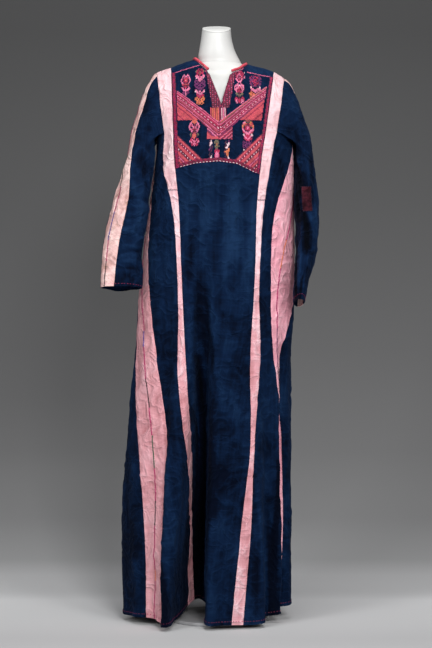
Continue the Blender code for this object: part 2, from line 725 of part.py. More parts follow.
def stand():
    base = (Turned(0, BASE_RADIUS - BASE_EDGE), Turned(BASE_EDGE, BASE_RADIUS),
            Turned(BASE_HEIGHT - BASE_EDGE, BASE_RADIUS), Turned(BASE_HEIGHT, BASE_RADIUS - BASE_EDGE))
    pole = (Turned(BASE_HEIGHT + SEAM, POLE_RADIUS), Turned(TORSO[0].z - SEAM, POLE_RADIUS))
    solid_from_rings("stand_base", turned(base), GREY, 0.5)
    solid_from_rings("stand_pole", turned(pole, around=20), GREY, 0.3, 1.0)


def body():
    """The body's panels; gives the ones that other pieces are sewn to."""
    front = body_panel("front_panel", "right front panel", "left front panel", front_stops(),
                       INDIGO, LOW_ROWS, FRONT_EDGE)
    chest_panel(*front)
    right_front = pieced_strip("strip_front_right", "right front strip", "right front panel",
                               TUCK_RIGHT, FRONT_EDGE)
    left_front = pieced_strip("strip_front_left", "left front panel", "left front strip",
                              TUCK_LEFT, FRONT_EDGE)
    body_panel("side_front_right", "right gore front", "right front strip", even(10), INDIGO)
    body_panel("side_front_left", "left front strip", "left gore front", even(8), INDIGO)
    body_panel("gore_right_front", "right gore middle", "right gore front", even(3), PINK)
    body_panel("gore_right_back", "right gore back", "right gore middle", even(3), PINK)
    body_panel("gore_left_front", "left gore front", "left gore middle", even(3), PINK)
    body_panel("gore_left_back", "left gore middle", "left gore back", even(3), PINK)
    body_panel("side_back_right", "right back strip", "right gore back", even(9), INDIGO)
    body_panel("side_back_left", "left gore back", "left back strip", even(6), INDIGO)
    right_back = body_panel("strip_back_right", "right back panel", "right back strip", even(3),
                            PINK, LOW_ROWS, BACK_EDGE)
    left_back = body_panel("strip_back_left", "left back strip", "left back panel", even(3),
                           PINK, LOW_ROWS, BACK_EDGE)
    back = body_panel("back_panel", "left back panel", "right back panel", even(20), INDIGO,
                      LOW_ROWS, BACK_EDGE)
    neck_binding(*front, *back)
    return (right_front, right_back), (left_front, left_back)


def main():
    for obj in list(bpy.data.objects):
        bpy.data.objects.remove(obj, do_unlink=True)
    right_strips, left_strips = body()
    sleeve(-1, RIGHT_ARM, "right", *right_strips)
    left_sleeve = sleeve(1, LEFT_ARM, "left", *left_strips)
    elbow_patch(*left_sleeve["front"])
    dress_form()
    stand()


main()
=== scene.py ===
import math
from collections import namedtuple

import bpy
import numpy as np
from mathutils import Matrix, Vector


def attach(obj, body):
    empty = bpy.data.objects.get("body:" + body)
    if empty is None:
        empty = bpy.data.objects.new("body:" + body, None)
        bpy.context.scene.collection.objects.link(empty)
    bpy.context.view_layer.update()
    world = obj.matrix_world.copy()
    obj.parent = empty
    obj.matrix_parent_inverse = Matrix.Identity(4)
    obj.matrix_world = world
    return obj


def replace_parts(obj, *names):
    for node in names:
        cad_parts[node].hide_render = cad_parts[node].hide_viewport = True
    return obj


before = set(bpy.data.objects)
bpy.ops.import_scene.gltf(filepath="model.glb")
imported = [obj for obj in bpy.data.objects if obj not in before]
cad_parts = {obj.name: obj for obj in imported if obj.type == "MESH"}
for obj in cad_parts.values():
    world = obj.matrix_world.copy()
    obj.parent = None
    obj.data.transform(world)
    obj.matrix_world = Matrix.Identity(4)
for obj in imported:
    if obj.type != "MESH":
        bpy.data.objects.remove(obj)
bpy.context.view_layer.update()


# The shop stand: a weighted steel base plate, powder coated pale grey, with a brushed
# steel pole screwed into it.  The plate lies on the floor, the pole runs up into the torso.

STAND_GREY = (0.42, 0.42, 0.43)
POLE_STEEL = (0.55, 0.55, 0.56)


def new_finish(name):
    """A material with its shader, and a short way to add nodes to it."""
    finish = bpy.data.materials.new(name)
    finish.use_nodes = True
    tree = finish.node_tree

    def node(kind, settings=None, **sockets):
        made = tree.nodes.new(kind)
        for key, value in (settings or {}).items():
            setattr(made, key, value)
        for key, value in sockets.items():
            socket = made.inputs[key.replace("_", " ")]
            if isinstance(value, bpy.types.NodeSocket):
                tree.links.new(value, socket)
            else:
                socket.default_value = value
        return made

    def link(source, target):
        tree.links.new(source, target)

    return finish, tree.nodes["Principled BSDF"], node, link


def set_on(shader, **values):
    for key, value in values.items():
        shader.inputs[key.replace("_", " ")].default_value = value


def embossed(shader, node, link, height, strength, distance):
    """Fine relief on a finish."""
    bump = node("ShaderNodeBump", Height=height, Strength=strength, Distance=distance)
    link(bump.outputs["Normal"], shader.inputs["Normal"])


def ramp_of(node, source, *stops):
    """A colour ramp through (place, colour) stops."""
    ramp = node("ShaderNodeValToRGB", Fac=source)
    line = ramp.color_ramp
    line.elements[0].position, line.elements[0].color = stops[0][0], (*stops[0][1], 1)
    line.elements[1].position, line.elements[1].color = stops[-1][0], (*stops[-1][1], 1)
    for place, colour in stops[1:-1]:
        line.elements.new(place).color = (*colour, 1)
    return ramp.outputs["Color"]


def coated_steel():
    finish, shader, node, link = new_finish("coated_steel")
    place = node("ShaderNodeTexCoord").outputs["Object"]
    grain = node("ShaderNodeTexNoise", Vector=place, Scale=900.0, Detail=3.0)
    scuff = node("ShaderNodeTexNoise", Vector=place, Scale=14.0, Detail=6.0)
    link(ramp_of(node, scuff.outputs["Fac"], (0.3, (0.38, 0.38, 0.39)), (0.7, STAND_GREY)),
         shader.inputs["Base Color"])
    embossed(shader, node, link, grain.outputs["Fac"], 0.15, 0.0003)
    set_on(shader, Roughness=0.5)
    return finish


def brushed_steel():
    finish, shader, node, link = new_finish("brushed_steel")
    place = node("ShaderNodeTexCoord").outputs["Object"]
    stretched = node("ShaderNodeMapping", Vector=place, Scale=(60.0, 60.0, 1500.0))
    lines = node("ShaderNodeTexNoise", Vector=stretched.outputs["Vector"], Scale=1.0, Detail=2.0)
    link(ramp_of(node, lines.outputs["Fac"], (0.3, (0.48, 0.48, 0.49)), (0.7, POLE_STEEL)),
         shader.inputs["Base Color"])
    embossed(shader, node, link, lines.outputs["Fac"], 0.1, 0.0002)
    set_on(shader, Metallic=1.0, Roughness=0.32)
    return finish


for part, finish in (("stand_base", coated_steel()), ("stand_pole", brushed_steel())):
    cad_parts[part].data.materials.clear()
    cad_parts[part].data.materials.append(finish)


# The dress form: a limbless display torso in gloss white paint over a moulded shell.
# The neck flares up out of the shoulders and is cut off at a slant; a thin cap closes it.

Form = namedtuple("Form", "z right left front back square slant")
TORSO = [Form(*row) for row in (
    (0.84, 0.15, 0.15, 0.1, 0.11, 2.3, 0), (0.9, 0.16, 0.165, 0.108, 0.12, 2.3, 0),
    (1.0, 0.15, 0.16, 0.1, 0.112, 2.3, 0), (1.1, 0.128, 0.138, 0.09, 0.094, 2.3, 0),
    (1.18, 0.13, 0.145, 0.104, 0.094, 2.3, 0), (1.25, 0.138, 0.155, 0.112, 0.096, 2.3, 0),
    (1.32, 0.142, 0.16, 0.1, 0.094, 2.3, 0), (1.38, 0.146, 0.16, 0.084, 0.084, 2.3, 0),
    (1.42, 0.146, 0.156, 0.068, 0.066, 2.3, 0), (1.445, 0.144, 0.15, 0.058, 0.05, 2.3, 0),
    (1.46, 0.136, 0.136, 0.055, 0.042, 2.3, 0), (1.472, 0.106, 0.112, 0.05, 0.04, 2.3, 0),
    (1.484, 0.07, 0.08, 0.048, 0.04, 2.2, 0), (1.496, 0.0515, 0.0655, 0.047, 0.038, 2.0, 0),
)]
NECK = [Form(*row) for row in (
    (1.4963, 0.0513, 0.0653, 0.047, 0.038, 2.0, 0), (1.504, 0.05, 0.0615, 0.047, 0.037, 2.0, 0.02),
    (1.515, 0.0505, 0.0556, 0.048, 0.035, 2.0, 0.05), (1.531, 0.0482, 0.0482, 0.049, 0.033, 2.0, 0.12),
    (1.548, 0.0455, 0.043, 0.049, 0.031, 2.0, 0.2), (1.564, 0.043, 0.0395, 0.049, 0.029, 2.0, 0.28),
    (1.5885, 0.04, 0.0372, 0.048, 0.028, 2.0, 0.36),
)]
NECK_CAP = [Form(*row) for row in (
    (1.5888, 0.0394, 0.0366, 0.0474, 0.0274, 2.0, 0.36),
    (1.5908, 0.0397, 0.0369, 0.0477, 0.0277, 2.0, 0.36), (1.592, 0.039, 0.0362, 0.047, 0.027, 2.0, 0.36),
)]
FORM_COLUMNS = 96
GLOSS_WHITE = (0.64, 0.64, 0.63)


def column_of(table, key):
    return [getattr(row, key) for row in table]


def eased(share):
    """From 0 to 1, slow at both ends."""
    return share * share * (3 - 2 * share)


def through(knots, values, at):
    """A smooth curve through a table's column."""
    knots = np.asarray(knots, float)
    values = np.asarray(values, float)
    at = np.asarray(at, float)
    slope = np.gradient(values, knots)
    i = np.clip(np.searchsorted(knots, at) - 1, 0, len(knots) - 2)
    span = knots[i + 1] - knots[i]
    t = np.clip((at - knots[i]) / span, 0, 1)
    rise = eased(t)
    lead = t * (1 - t) ** 2 * span * slope[i]
    trail = t * t * (1 - t) * span * slope[i + 1]
    return values[i] * (1 - rise) + values[i + 1] * rise + lead - trail


def finished_piece(name, points, faces, finishes, slot):
    """A mesh that rides on the part's one body and carries the given finishes; slot is not used."""
    mesh = bpy.data.meshes.new(name)
    mesh.from_pydata(np.asarray(points, float).tolist(), [], faces)
    mesh.shade_smooth()
    for finish in finishes:
        mesh.materials.append(finish)
    piece = bpy.data.objects.new(name, mesh)
    bpy.context.scene.collection.objects.link(piece)
    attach(piece, "root")
    return piece


def moulded(name, rings, finish):
    """A closed shell through rings of points, lowest first."""
    rings = np.asarray(rings)
    levels, around = rings.shape[:2]
    points = np.concatenate([rings.reshape(-1, 3), [rings[0].mean(0)], [rings[-1].mean(0)]])
    foot, head = levels * around, levels * around + 1
    faces = []
    for j in range(around):
        k = (j + 1) % around
        for i in range(levels - 1):
            faces.append((i * around + j, i * around + k, (i + 1) * around + k, (i + 1) * around + j))
        faces.append((foot, k, j))
        faces.append((head, foot - around + j, foot - around + k))
    piece = finished_piece(name, points, faces, [finish], "white_gloss_form")
    piece.data.set_sharp_from_angle(angle=math.radians(50))
    return piece


def gloss_paint():
    finish, shader, node, link = new_finish("gloss_white_paint")
    place = node("ShaderNodeTexCoord").outputs["Object"]
    yellowed = node("ShaderNodeTexNoise", Vector=place, Scale=9.0, Detail=4.0)
    link(ramp_of(node, yellowed.outputs["Fac"], (0.3, (0.60, 0.60, 0.58)), (0.7, GLOSS_WHITE)),
         shader.inputs["Base Color"])
    peel = node("ShaderNodeTexNoise", Vector=place, Scale=160.0, Detail=2.0)
    embossed(shader, node, link, peel.outputs["Fac"], 0.06, 0.0004)
    set_on(shader, Roughness=0.42, Specular_IOR_Level=0.3, Coat_Weight=0.08, Coat_Roughness=0.2)
    return finish


white_paint = gloss_paint()
turn = np.arange(FORM_COLUMNS) * 2 * math.pi / FORM_COLUMNS
side, ahead = np.sin(turn), np.cos(turn)
for name, node_name, table, count in (
        ("torso_shell", "form_torso", TORSO, 79),
        ("neck_shell", "form_neck", NECK, 43),
        ("neck_cap_shell", "form_neck_cap", NECK_CAP, 5)):
    rings = []
    for z in np.interp(np.linspace(0, len(table) - 1, count), np.arange(len(table)), column_of(table, "z")):
        right, left, front, back, square, slant = (
            through(column_of(table, "z"), column_of(table, key), z)
            for key in ("right", "left", "front", "back", "square", "slant"))
        wide = np.where(side < 0, right, left)
        deep = np.where(ahead > 0, front, back)
        reach = (np.abs(side / wide) ** square + np.abs(ahead / deep) ** square) ** (-1 / square)
        rings.append(np.column_stack([reach * side, -reach * ahead, z - slant * reach * ahead]))
    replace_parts(moulded(name, rings, white_paint), node_name)


# The body of the thobe: long indigo cotton panels with pieced silk strips and gores between,
# cut straight off the loom, seamed by hand from hem to shoulder and left to fall in folds.

UNDERARM = 1.300
RIDGE_Y = 0.005
SEAM = 0.0003

Level = namedtuple("Level", "name z right left front back square")
LEVELS = (
    Level("hem", 0.00, 0.240, 0.186, 0.185, 0.215, 2.4),
    Level("shin", 0.25, 0.250, 0.192, 0.178, 0.205, 2.4),
    Level("knee", 0.47, 0.244, 0.195, 0.170, 0.190, 2.3),
    Level("thigh", 0.70, 0.221, 0.199, 0.160, 0.175, 2.2),
    Level("hip", 0.90, 0.205, 0.210, 0.150, 0.162, 2.2),
    Level("waist", 1.12, 0.181, 0.209, 0.128, 0.132, 2.2),
    Level("bust", 1.24, 0.165, 0.206, 0.138, 0.120, 2.3),
    Level("underarm", UNDERARM, 0.160, 0.203, 0.124, 0.114, 2.4),
)
Fold = namedtuple("Fold", "name top_z top hem wide out lean")
FOLDS = (
    Fold("right crest", 0.95, -34, -28, 13, 0.055, -0.020),
    Fold("front valley", 1.02, -12, -16, 12, -0.180, -0.045),
    Fold("front valley near wall", 0.95, -17, -21, 6, -0.040, -0.032),
    Fold("front valley far wall", 0.95, -9, -11.5, 5, -0.030, 0.016),
    Fold("front lip", 0.90, -3, -4, 7, 0.014, -0.008),
    Fold("front flat", 0.80, 20, 20, 14, -0.006, 0.000),
    Fold("left hollow", 0.80, 45, 52, 14, -0.046, 0.000),
    Fold("left gore valley", 0.95, 61, 72.5, 9.5, -0.052, 0.000),
    Fold("left side crest", 0.70, 82, 86, 10, 0.012, 0.000),
    Fold("right gore hollow", 0.60, -56, -54, 12, -0.020, 0.000),
    Fold("right side crest", 0.60, -84, -82, 14, 0.012, 0.006),
    Fold("right back valley", 0.95, -118, -120, 10, -0.050, 0.008),
    Fold("back right crest", 0.80, -142, -140, 13, 0.026, -0.008),
    Fold("back right valley", 1.00, -160, -160, 11, -0.056, 0.000),
    Fold("back middle crest", 0.85, 178, 178, 13, 0.020, 0.006),
    Fold("back left valley", 1.00, 158, 156, 9, -0.055, -0.004),
    Fold("back left crest", 0.85, 138, 136, 12, 0.024, 0.008),
    Fold("left back valley", 0.95, 116, 115, 10, -0.048, -0.006),
)
Hem = namedtuple("Hem", "bearing z")
HEM = [Hem(*row) for row in (
    (-180, 0.03), (-120, 0.03), (-85, 0.018), (-55, 0.02), (-30, 0.011), (-24, 0.015), (-16, 0.05),
    (-9, 0.016), (-5, 0.013), (10, 0.012), (32, 0.011), (60, 0.022), (80, 0.038), (105, 0.055),
    (140, 0.05), (180, 0.03),
)]
FRONT_HEM = 4
SEAMS = {
    "right back panel": (-150, -150, -150, -150, -150, -147, -136, -127.7),
    "right back strip": (-141, -141, -141, -140, -139, -135, -124, -115.1),
    "right gore back": (-58.5, -58.5, -65, -82, -96, -100, -99, -97),
    "right gore middle": (-52, -49, -52.5, -66, -78, -88, -90, -90),
    "right gore front": (-36, -37, -40, -54, -67, -78, -80, -82),
    "right front strip": (-20, -20, -24, -33, -38, -51, -62, -63),
    "right front panel": (-18, -19, -21, -27, -34, -43, -46, -50),
    "left front panel": (11.5, 20.5, 29, 31, 36, 43, 45, 51),
    "left front strip": (21.5, 28.5, 32.7, 40, 40.5, 50, 54, 61),
    "left gore front": (69, 67.5, 64.5, 53, 51, 62, 76, 86),
    "left gore middle": (73.5, 72, 68, 58, 58, 81, 90, 91),
    "left gore back": (77.5, 75, 70.5, 64, 90, 99, 100, 97),
    "left back strip": (98, 99, 100, 112, 132, 133, 125, 117),
    "left back panel": (108, 109, 112, 126, 146, 146, 135, 126.7),
}
Ridge = namedtuple("Ridge", "x z")
RIDGE = [Ridge(*row) for row in (
    (-0.175, 1.468), (-0.13, 1.482), (-0.065, 1.507), (0.01, 1.514), (0.084, 1.492), (0.15, 1.474),
    (0.19, 1.45),
)]
Fan = namedtuple("Fan", "underarm ridge")
FAN = [Fan(*row) for row in (
    (-0.16, -0.19), (-0.142, -0.165), (-0.118, -0.127), (0.01, 0.011), (0.129, 0.153), (0.159, 0.181),
    (0.202, 0.215),
)]
Edge = namedtuple("Edge", "x z")
NECK_RIGHT = -0.065
NECK_LEFT = 0.084
SLIT_RIGHT = -0.026
SLIT_FOOT = 0.011
SLIT_LEFT = 0.038
FRONT_EDGE = [Edge(*row) for row in (
    (NECK_RIGHT, 1.507), (-0.045, 1.486), (SLIT_RIGHT, 1.467), (SLIT_FOOT, 1.369), (SLIT_LEFT, 1.461),
    (0.062, 1.471), (NECK_LEFT, 1.492),
)]
BACK_EDGE = [Edge(*row) for row in (
    (NECK_RIGHT, 1.507), (-0.035, 1.494), (0.01, 1.489), (0.055, 1.486), (NECK_LEFT, 1.492),
)]


def unit(vector):
    return vector / np.maximum(np.linalg.norm(vector, axis=-1, keepdims=True), 1e-12)


def oval(bearing, z):
    """Distance from the axis to the unfolded body."""
    level = {key: through(column_of(LEVELS, "z"), column_of(LEVELS, key), z)
             for key in ("right", "left", "front", "back", "square")}
    side = np.sin(np.radians(bearing))
    ahead = np.cos(np.radians(bearing))
    wide = np.where(side < 0, level["right"], level["left"])
    deep = np.where(ahead > 0, level["front"], level["back"])
    power = level["square"]
    return (np.abs(side / wide) ** power + np.abs(ahead / deep) ** power) ** (-1 / power)


def skirt(bearing, z):
    """A point of the hanging cloth at or below the underarm."""
    bearing, z = np.broadcast_arrays(np.asarray(bearing, float), np.asarray(z, float))
    reach = oval(bearing, z)
    lean = np.zeros_like(reach)
    for fold in FOLDS:
        drop = np.clip((fold.top_z - z) / fold.top_z, 0, 1)
        grown = eased(drop)
        middle = fold.hem + (fold.top - fold.hem) * np.clip(z / fold.top_z, 0, 1)
        apart = (bearing - middle + 180) % 360 - 180
        bump = np.cos(np.clip(apart / fold.wide, -1, 1) * math.pi / 2) ** 2
        reach = reach + fold.out * grown * bump
        lean = lean + fold.lean * grown * bump
    side = np.sin(np.radians(bearing))
    ahead = np.cos(np.radians(bearing))
    return np.stack([reach * side + lean * ahead, -reach * ahead + lean * side, z], -1)


def hem_height(bearing):
    wrapped = (np.asarray(bearing, float) + 180) % 360 - 180
    return through(column_of(HEM, "bearing"), column_of(HEM, "z"), wrapped)


def seam_bearing(name, z):
    return through(column_of(LEVELS, "z"), SEAMS[name], z)


def ridge_height(x):
    return through(column_of(RIDGE, "x"), column_of(RIDGE, "z"), x)


def arch(bearing, turn):
    """A point above the underarm: turn runs from 0 there to 90 degrees at the ridge."""
    foot = skirt(bearing, UNDERARM)
    top_x = np.interp(foot[..., 0], column_of(FAN, "underarm"), column_of(FAN, "ridge"))
    up = np.sin(np.radians(turn))
    across = np.cos(np.radians(turn))
    x = foot[..., 0] + (top_x - foot[..., 0]) * up
    y = RIDGE_Y + (foot[..., 1] - RIDGE_Y) * across
    z = UNDERARM + (ridge_height(top_x) - UNDERARM) * up
    return np.stack([x, y, z], -1)


def arch_end(bearing, edge):
    """The turn at which a column meets the ridge or the neckline."""
    foot = skirt(bearing, UNDERARM)
    depth = np.abs(foot[..., 1] - RIDGE_Y)
    end = np.degrees(np.arccos(SEAM / 2 / depth))
    for _ in range(12):
        x = arch(bearing, end)[..., 0]
        limit = np.interp(x, column_of(edge, "x"), column_of(edge, "z"))
        top_x = np.interp(foot[..., 0], column_of(FAN, "underarm"), column_of(FAN, "ridge"))
        share = (limit - UNDERARM) / (ridge_height(top_x) - UNDERARM)
        cut = np.degrees(np.arcsin(np.clip(share, 0, 1)))
        inside = (x > NECK_RIGHT) & (x < NECK_LEFT)
        end = np.where(inside, np.minimum(cut, end), end)
    return end


# How the cotton creases: soft dents all over from years of folding and wear, and the larger
# creases listed one by one, each from one point of its side to another.

CLOTH = 0.0009            # one thickness of the cotton
EDGE_ROLL = 0.0008        # the cloth sinks this far into a seam
EDGE_REACH = 0.0026
HEM_FOLD = 0.010          # the turned hem's depth
ARCH_COUNT = 46           # rows of the grid from the underarm to the shoulder
GRID_STEP = 0.0055
GRID_RISE = 0.0062
SIDE_PAINTED_SHADE = 0.0011      # painted shade: the side panels are painted darker

# a is x on the front and the back, and y on the sides
Crease = namedtuple("Crease", "side a0 z0 a1 z1 wide high")
CREASES = [Crease(side, *row) for side, rows in (
    ("front", (
        (-0.195, 1.001, -0.108, 1.0, 0.0042, -0.0026), (-0.195, 1.01, -0.108, 1.008, 0.006, 0.0018),
        (-0.04, 0.94, -0.022, 0.64, 0.017, -0.008), (-0.012, 0.93, 0.004, 0.56, 0.012, 0.004),
        (0.022, 0.708, 0.068, 0.652, 0.005, 0.0036), (0.03, 0.692, 0.072, 0.66, 0.005, -0.0032),
        (0.03, 0.622, 0.074, 0.586, 0.005, 0.0032), (0.012, 0.61, 0.05, 0.56, 0.005, -0.0026),
        (0.016, 0.742, 0.075, 0.752, 0.005, 0.0024), (0.01, 0.4, 0.08, 0.428, 0.006, 0.0034),
        (0.08, 0.428, 0.12, 0.392, 0.006, 0.0032), (0.03, 0.372, 0.11, 0.402, 0.006, -0.003),
        (0.015, 0.34, 0.062, 0.31, 0.007, 0.003), (0.07, 0.3, 0.11, 0.344, 0.007, 0.0028),
        (0.0, 0.28, 0.06, 0.268, 0.005, -0.0026), (-0.208, 0.494, -0.176, 0.528, 0.004, -0.004),
        (-0.203, 0.487, -0.171, 0.52, 0.004, 0.0028), (-0.181, 0.486, -0.148, 0.527, 0.004, -0.004),
        (-0.204, 0.474, -0.168, 0.476, 0.0036, -0.0024), (-0.202, 0.391, -0.16, 0.391, 0.0036, -0.003),
        (-0.19, 0.384, -0.13, 0.378, 0.005, 0.0028), (-0.19, 0.34, -0.14, 0.352, 0.005, -0.0024),
        (-0.2, 0.65, -0.16, 0.64, 0.005, 0.0024), (-0.16, 0.13, -0.13, 0.06, 0.008, 0.004),
        (0.1, 1.12, 0.085, 0.93, 0.01, 0.0034), (0.07, 1.17, 0.058, 0.86, 0.012, -0.003),
        (0.038, 1.19, 0.03, 0.82, 0.013, 0.0034), (0.01, 1.19, 0.0, 0.9, 0.013, -0.0034),
        (-0.025, 1.2, -0.032, 0.94, 0.012, 0.003), (-0.062, 1.18, -0.066, 0.88, 0.012, -0.0026),
        (-0.09, 1.17, -0.092, 0.9, 0.009, 0.0022), (0.112, 0.56, 0.06, 0.3, 0.013, 0.004),
        (0.14, 0.33, 0.156, 0.04, 0.012, -0.0046), (0.12, 0.32, 0.128, 0.03, 0.011, 0.004),
        (0.1, 0.24, 0.106, 0.03, 0.01, -0.0034), (0.062, 0.33, 0.048, 0.04, 0.012, 0.0034),
        (-0.1, 0.76, -0.095, 0.42, 0.011, 0.0036), (-0.112, 0.48, -0.104, 0.2, 0.011, -0.0032),
        (0.15, 1.29, 0.176, 1.18, 0.009, -0.004), (0.128, 1.24, 0.15, 1.14, 0.008, 0.003),
        (-0.13, 1.29, -0.15, 1.19, 0.008, -0.0036), (-0.124, 1.24, -0.17, 1.11, 0.01, 0.003),
        (-0.19, 1.09, -0.12, 1.18, 0.009, -0.0026),
    )),
    ("back", (
        (-0.15, 1.24, 0.02, 1.18, 0.007, -0.0034), (-0.13, 1.21, 0.01, 1.155, 0.008, 0.003),
        (0.16, 1.25, 0.04, 1.15, 0.007, -0.0034), (-0.08, 1.12, 0.07, 1.116, 0.005, 0.0028),
        (0.03, 1.04, 0.02, 0.8, 0.014, 0.005), (-0.04, 1.06, -0.03, 0.74, 0.012, -0.0044),
        (-0.08, 1.04, -0.07, 0.76, 0.013, 0.004), (0.09, 1.02, 0.08, 0.7, 0.013, -0.004),
        (0.06, 0.7, -0.03, 0.61, 0.006, 0.0036), (0.05, 0.67, -0.03, 0.59, 0.005, -0.003),
        (-0.05, 0.52, 0.08, 0.47, 0.006, -0.0034), (-0.14, 0.33, -0.04, 0.3, 0.007, 0.0034),
        (0.1, 0.25, 0.02, 0.21, 0.007, 0.003),
    )),
    ("right", (
        (-0.06, 1.18, 0.05, 1.12, 0.006, -0.0034), (-0.05, 1.15, 0.05, 1.09, 0.007, 0.003),
        (-0.05, 1.0, 0.04, 0.72, 0.011, 0.004), (0.08, 0.8, -0.02, 0.68, 0.006, -0.0034),
        (-0.06, 0.43, 0.07, 0.38, 0.006, 0.0034), (0.06, 0.24, -0.06, 0.16, 0.008, -0.0034),
    )),
    ("left", (
        (-0.05, 1.2, 0.06, 1.12, 0.006, -0.0034), (0.05, 0.98, -0.03, 0.74, 0.011, 0.004),
        (-0.07, 0.64, 0.06, 0.56, 0.006, -0.0034), (0.07, 0.36, -0.05, 0.27, 0.007, 0.0032),
    )),
) for row in rows]
DENT_TABLE = np.random.default_rng(7).uniform(-1, 1, (32, 32, 32))


def dents(points, size, stretch=(1.0, 1.0, 1.0)):
    """Smooth uneven dents of about one size, the same wherever two pieces meet."""
    at = points / (size * np.asarray(stretch))
    low = np.floor(at).astype(int)
    share = at - low
    share = eased(share)
    total = 0.0
    for corner in range(8):
        step = np.array([corner & 1, corner >> 1 & 1, corner >> 2 & 1])
        weight = np.prod(np.where(step == 1, share, 1 - share), axis=-1)
        i, j, k = np.moveaxis((low + step) % len(DENT_TABLE), -1, 0)
        total = total + weight * DENT_TABLE[i, j, k]
    return total


def wrinkles(points, size):
    """Thin raised lines that wander over the cloth, as crumpling leaves them."""
    across = np.abs(dents(points, size, (1.3, 1.3, 1.0)))
    return 0.0021 * np.exp(-(across / 0.10) ** 2) * np.clip(0.5 + dents(points + 1.9, size * 1.7), 0, 1)


def beside_line(a, z, line):
    """How far places lie along a crease's line and beside it, and the line's length."""
    run = np.array([line.a1 - line.a0, line.z1 - line.z0])
    length = np.linalg.norm(run)
    along = ((a - line.a0) * run[0] + (z - line.z0) * run[1]) / length
    aside = ((z - line.z0) * run[0] - (a - line.a0) * run[1]) / length
    return along, aside, length


def one_crease(a, z, crease):
    """The crease's height at places a, z: a rounded line that wanders and runs out at its ends."""
    along, aside, length = beside_line(a, z, crease)
    aside = aside + 0.12 * length * 0.25 * np.sin(along / length * 5.2 + crease.z0 * 40)
    share = np.clip(along / length, 0, 1)
    over = np.maximum(np.maximum(-along, along - length), 0)
    taper = np.sqrt(np.clip(4 * share * (1 - share), 0.02, 1)) * np.exp(-(over / 0.008) ** 2)
    shape = np.exp(-(aside / crease.wide) ** 2) - 0.4 * np.exp(-(aside / (crease.wide * 2.3)) ** 2)
    return crease.high * shape * taper


# Long folds painted dark into the cloth's colour: painted shade where light does not reach.
SHADED_FOLDS = [Crease(side, *row) for side, rows in (
    ("front", (
        (-0.046, 0.7, -0.056, 0.01, 0.021, -0.02), (-0.07, 0.56, -0.074, 0.01, 0.012, -0.016),
        (0.15, 0.42, 0.156, 0.02, 0.011, -0.01), (-0.004, 0.34, 0.008, 0.01, 0.034, -0.004),
        (-0.15, 0.33, -0.143, 0.01, 0.009, -0.008),
    )),
    ("back", (
        (0.01, 0.76, 0.02, 0.02, 0.018, -0.016), (-0.09, 0.52, -0.1, 0.02, 0.014, -0.01),
        (0.11, 0.48, 0.116, 0.02, 0.014, -0.01),
    )),
) for row in rows]


def fold_shade(a, z, fold):
    """Below zero in a fold, fading out to its sides and its upper end."""
    along, aside, length = beside_line(a, z, fold)
    aside = aside + 0.03 * length * np.sin(along / length * 4.6 + fold.z0 * 40)
    over = np.maximum(np.maximum(-along, along - length), 0)
    opening = np.clip(0.35 + along / length, 0.35, 1)
    return fold.high * np.exp(-(aside / (fold.wide * opening)) ** 2 - (over / 0.012) ** 2)


# Painted shade along the long folds, on the cloth that faces them.
def painted_fold_shade(points, normal):
    shade = np.zeros(points.shape[:-1])
    for fold in SHADED_FOLDS:
        way = -1 if fold.side == "front" else 1
        facing = np.clip((normal[..., 1] * way - 0.10) / 0.2, 0, 1)
        shade = np.minimum(shade, fold_shade(points[..., 0], points[..., 2], fold) * facing)
    return shade


def body_creases(points, normal):
    """How far the cloth stands out or in at each point."""
    high = np.zeros(points.shape[:-1])
    for crease in CREASES:
        way = {"front": (0, -1, 0), "back": (0, 1, 0), "right": (-1, 0, 0), "left": (1, 0, 0)}[crease.side]
        facing = np.clip((normal @ np.array(way, float) - 0.25) / 0.35, 0, 1)
        a = points[..., 0] if crease.side in ("front", "back") else points[..., 1]
        high += one_crease(a, points[..., 2], crease) * facing
    loose = np.clip((1.25 - points[..., 2]) / 0.4, 0.2, 1)
    high += 0.0038 * loose * dents(points, 0.070, (1, 1, 3.0))
    high += 0.0026 * (0.5 + 0.5 * loose) * dents(points + 3.1, 0.030, (1, 1, 2.2))
    high += 0.0010 * dents(points + 7.7, 0.013, (1, 1, 1.3))
    high += (0.4 + 0.6 * loose) * (wrinkles(points, 0.052) + 0.6 * wrinkles(points + 5.3, 0.028))
    return np.clip(high, -0.010, 0.0045)


def walked_along(points):
    """How far each point is along a line."""
    return np.concatenate([[0], np.cumsum(np.linalg.norm(np.diff(points, axis=0), axis=1))])


def seam_tracks(left, right, shares):
    """For each row, fine bearings between two seams and how far each lies across the cloth."""
    tracks = []
    for share in shares:
        start, finish = (seam_bearing(seam, share * UNDERARM) for seam in (left, right))
        fine = np.linspace(start, finish + 360 if finish < start else finish, 241)
        hem = hem_height(fine)
        track = skirt(fine, hem + share * (UNDERARM - hem))
        walked = walked_along(track)
        tracks.append((fine, walked))
    return tracks


def closer_at_edges(length, step, reach=(0.0009, EDGE_REACH)):
    """Places along a length, in metres, closer together beside its two ends."""
    trim = SEAM / 2
    near = [trim, *[trim + r for r in reach]]
    count = max(2, round((length - 2 * near[-1]) / step))
    middle = np.linspace(near[-1], length - near[-1], count + 1)
    return np.concatenate([near[:-1], middle, [length - e for e in near[:-1][::-1]]])


def away_from_body(grid):
    return unit(np.cross(np.gradient(grid, axis=1), np.gradient(grid, axis=0)))


def walk_up(grid):
    """How far each point is along its column."""
    steps = np.linalg.norm(np.diff(grid, axis=0), axis=-1)
    return np.concatenate([np.zeros((1, grid.shape[1])), np.cumsum(steps, axis=0)])


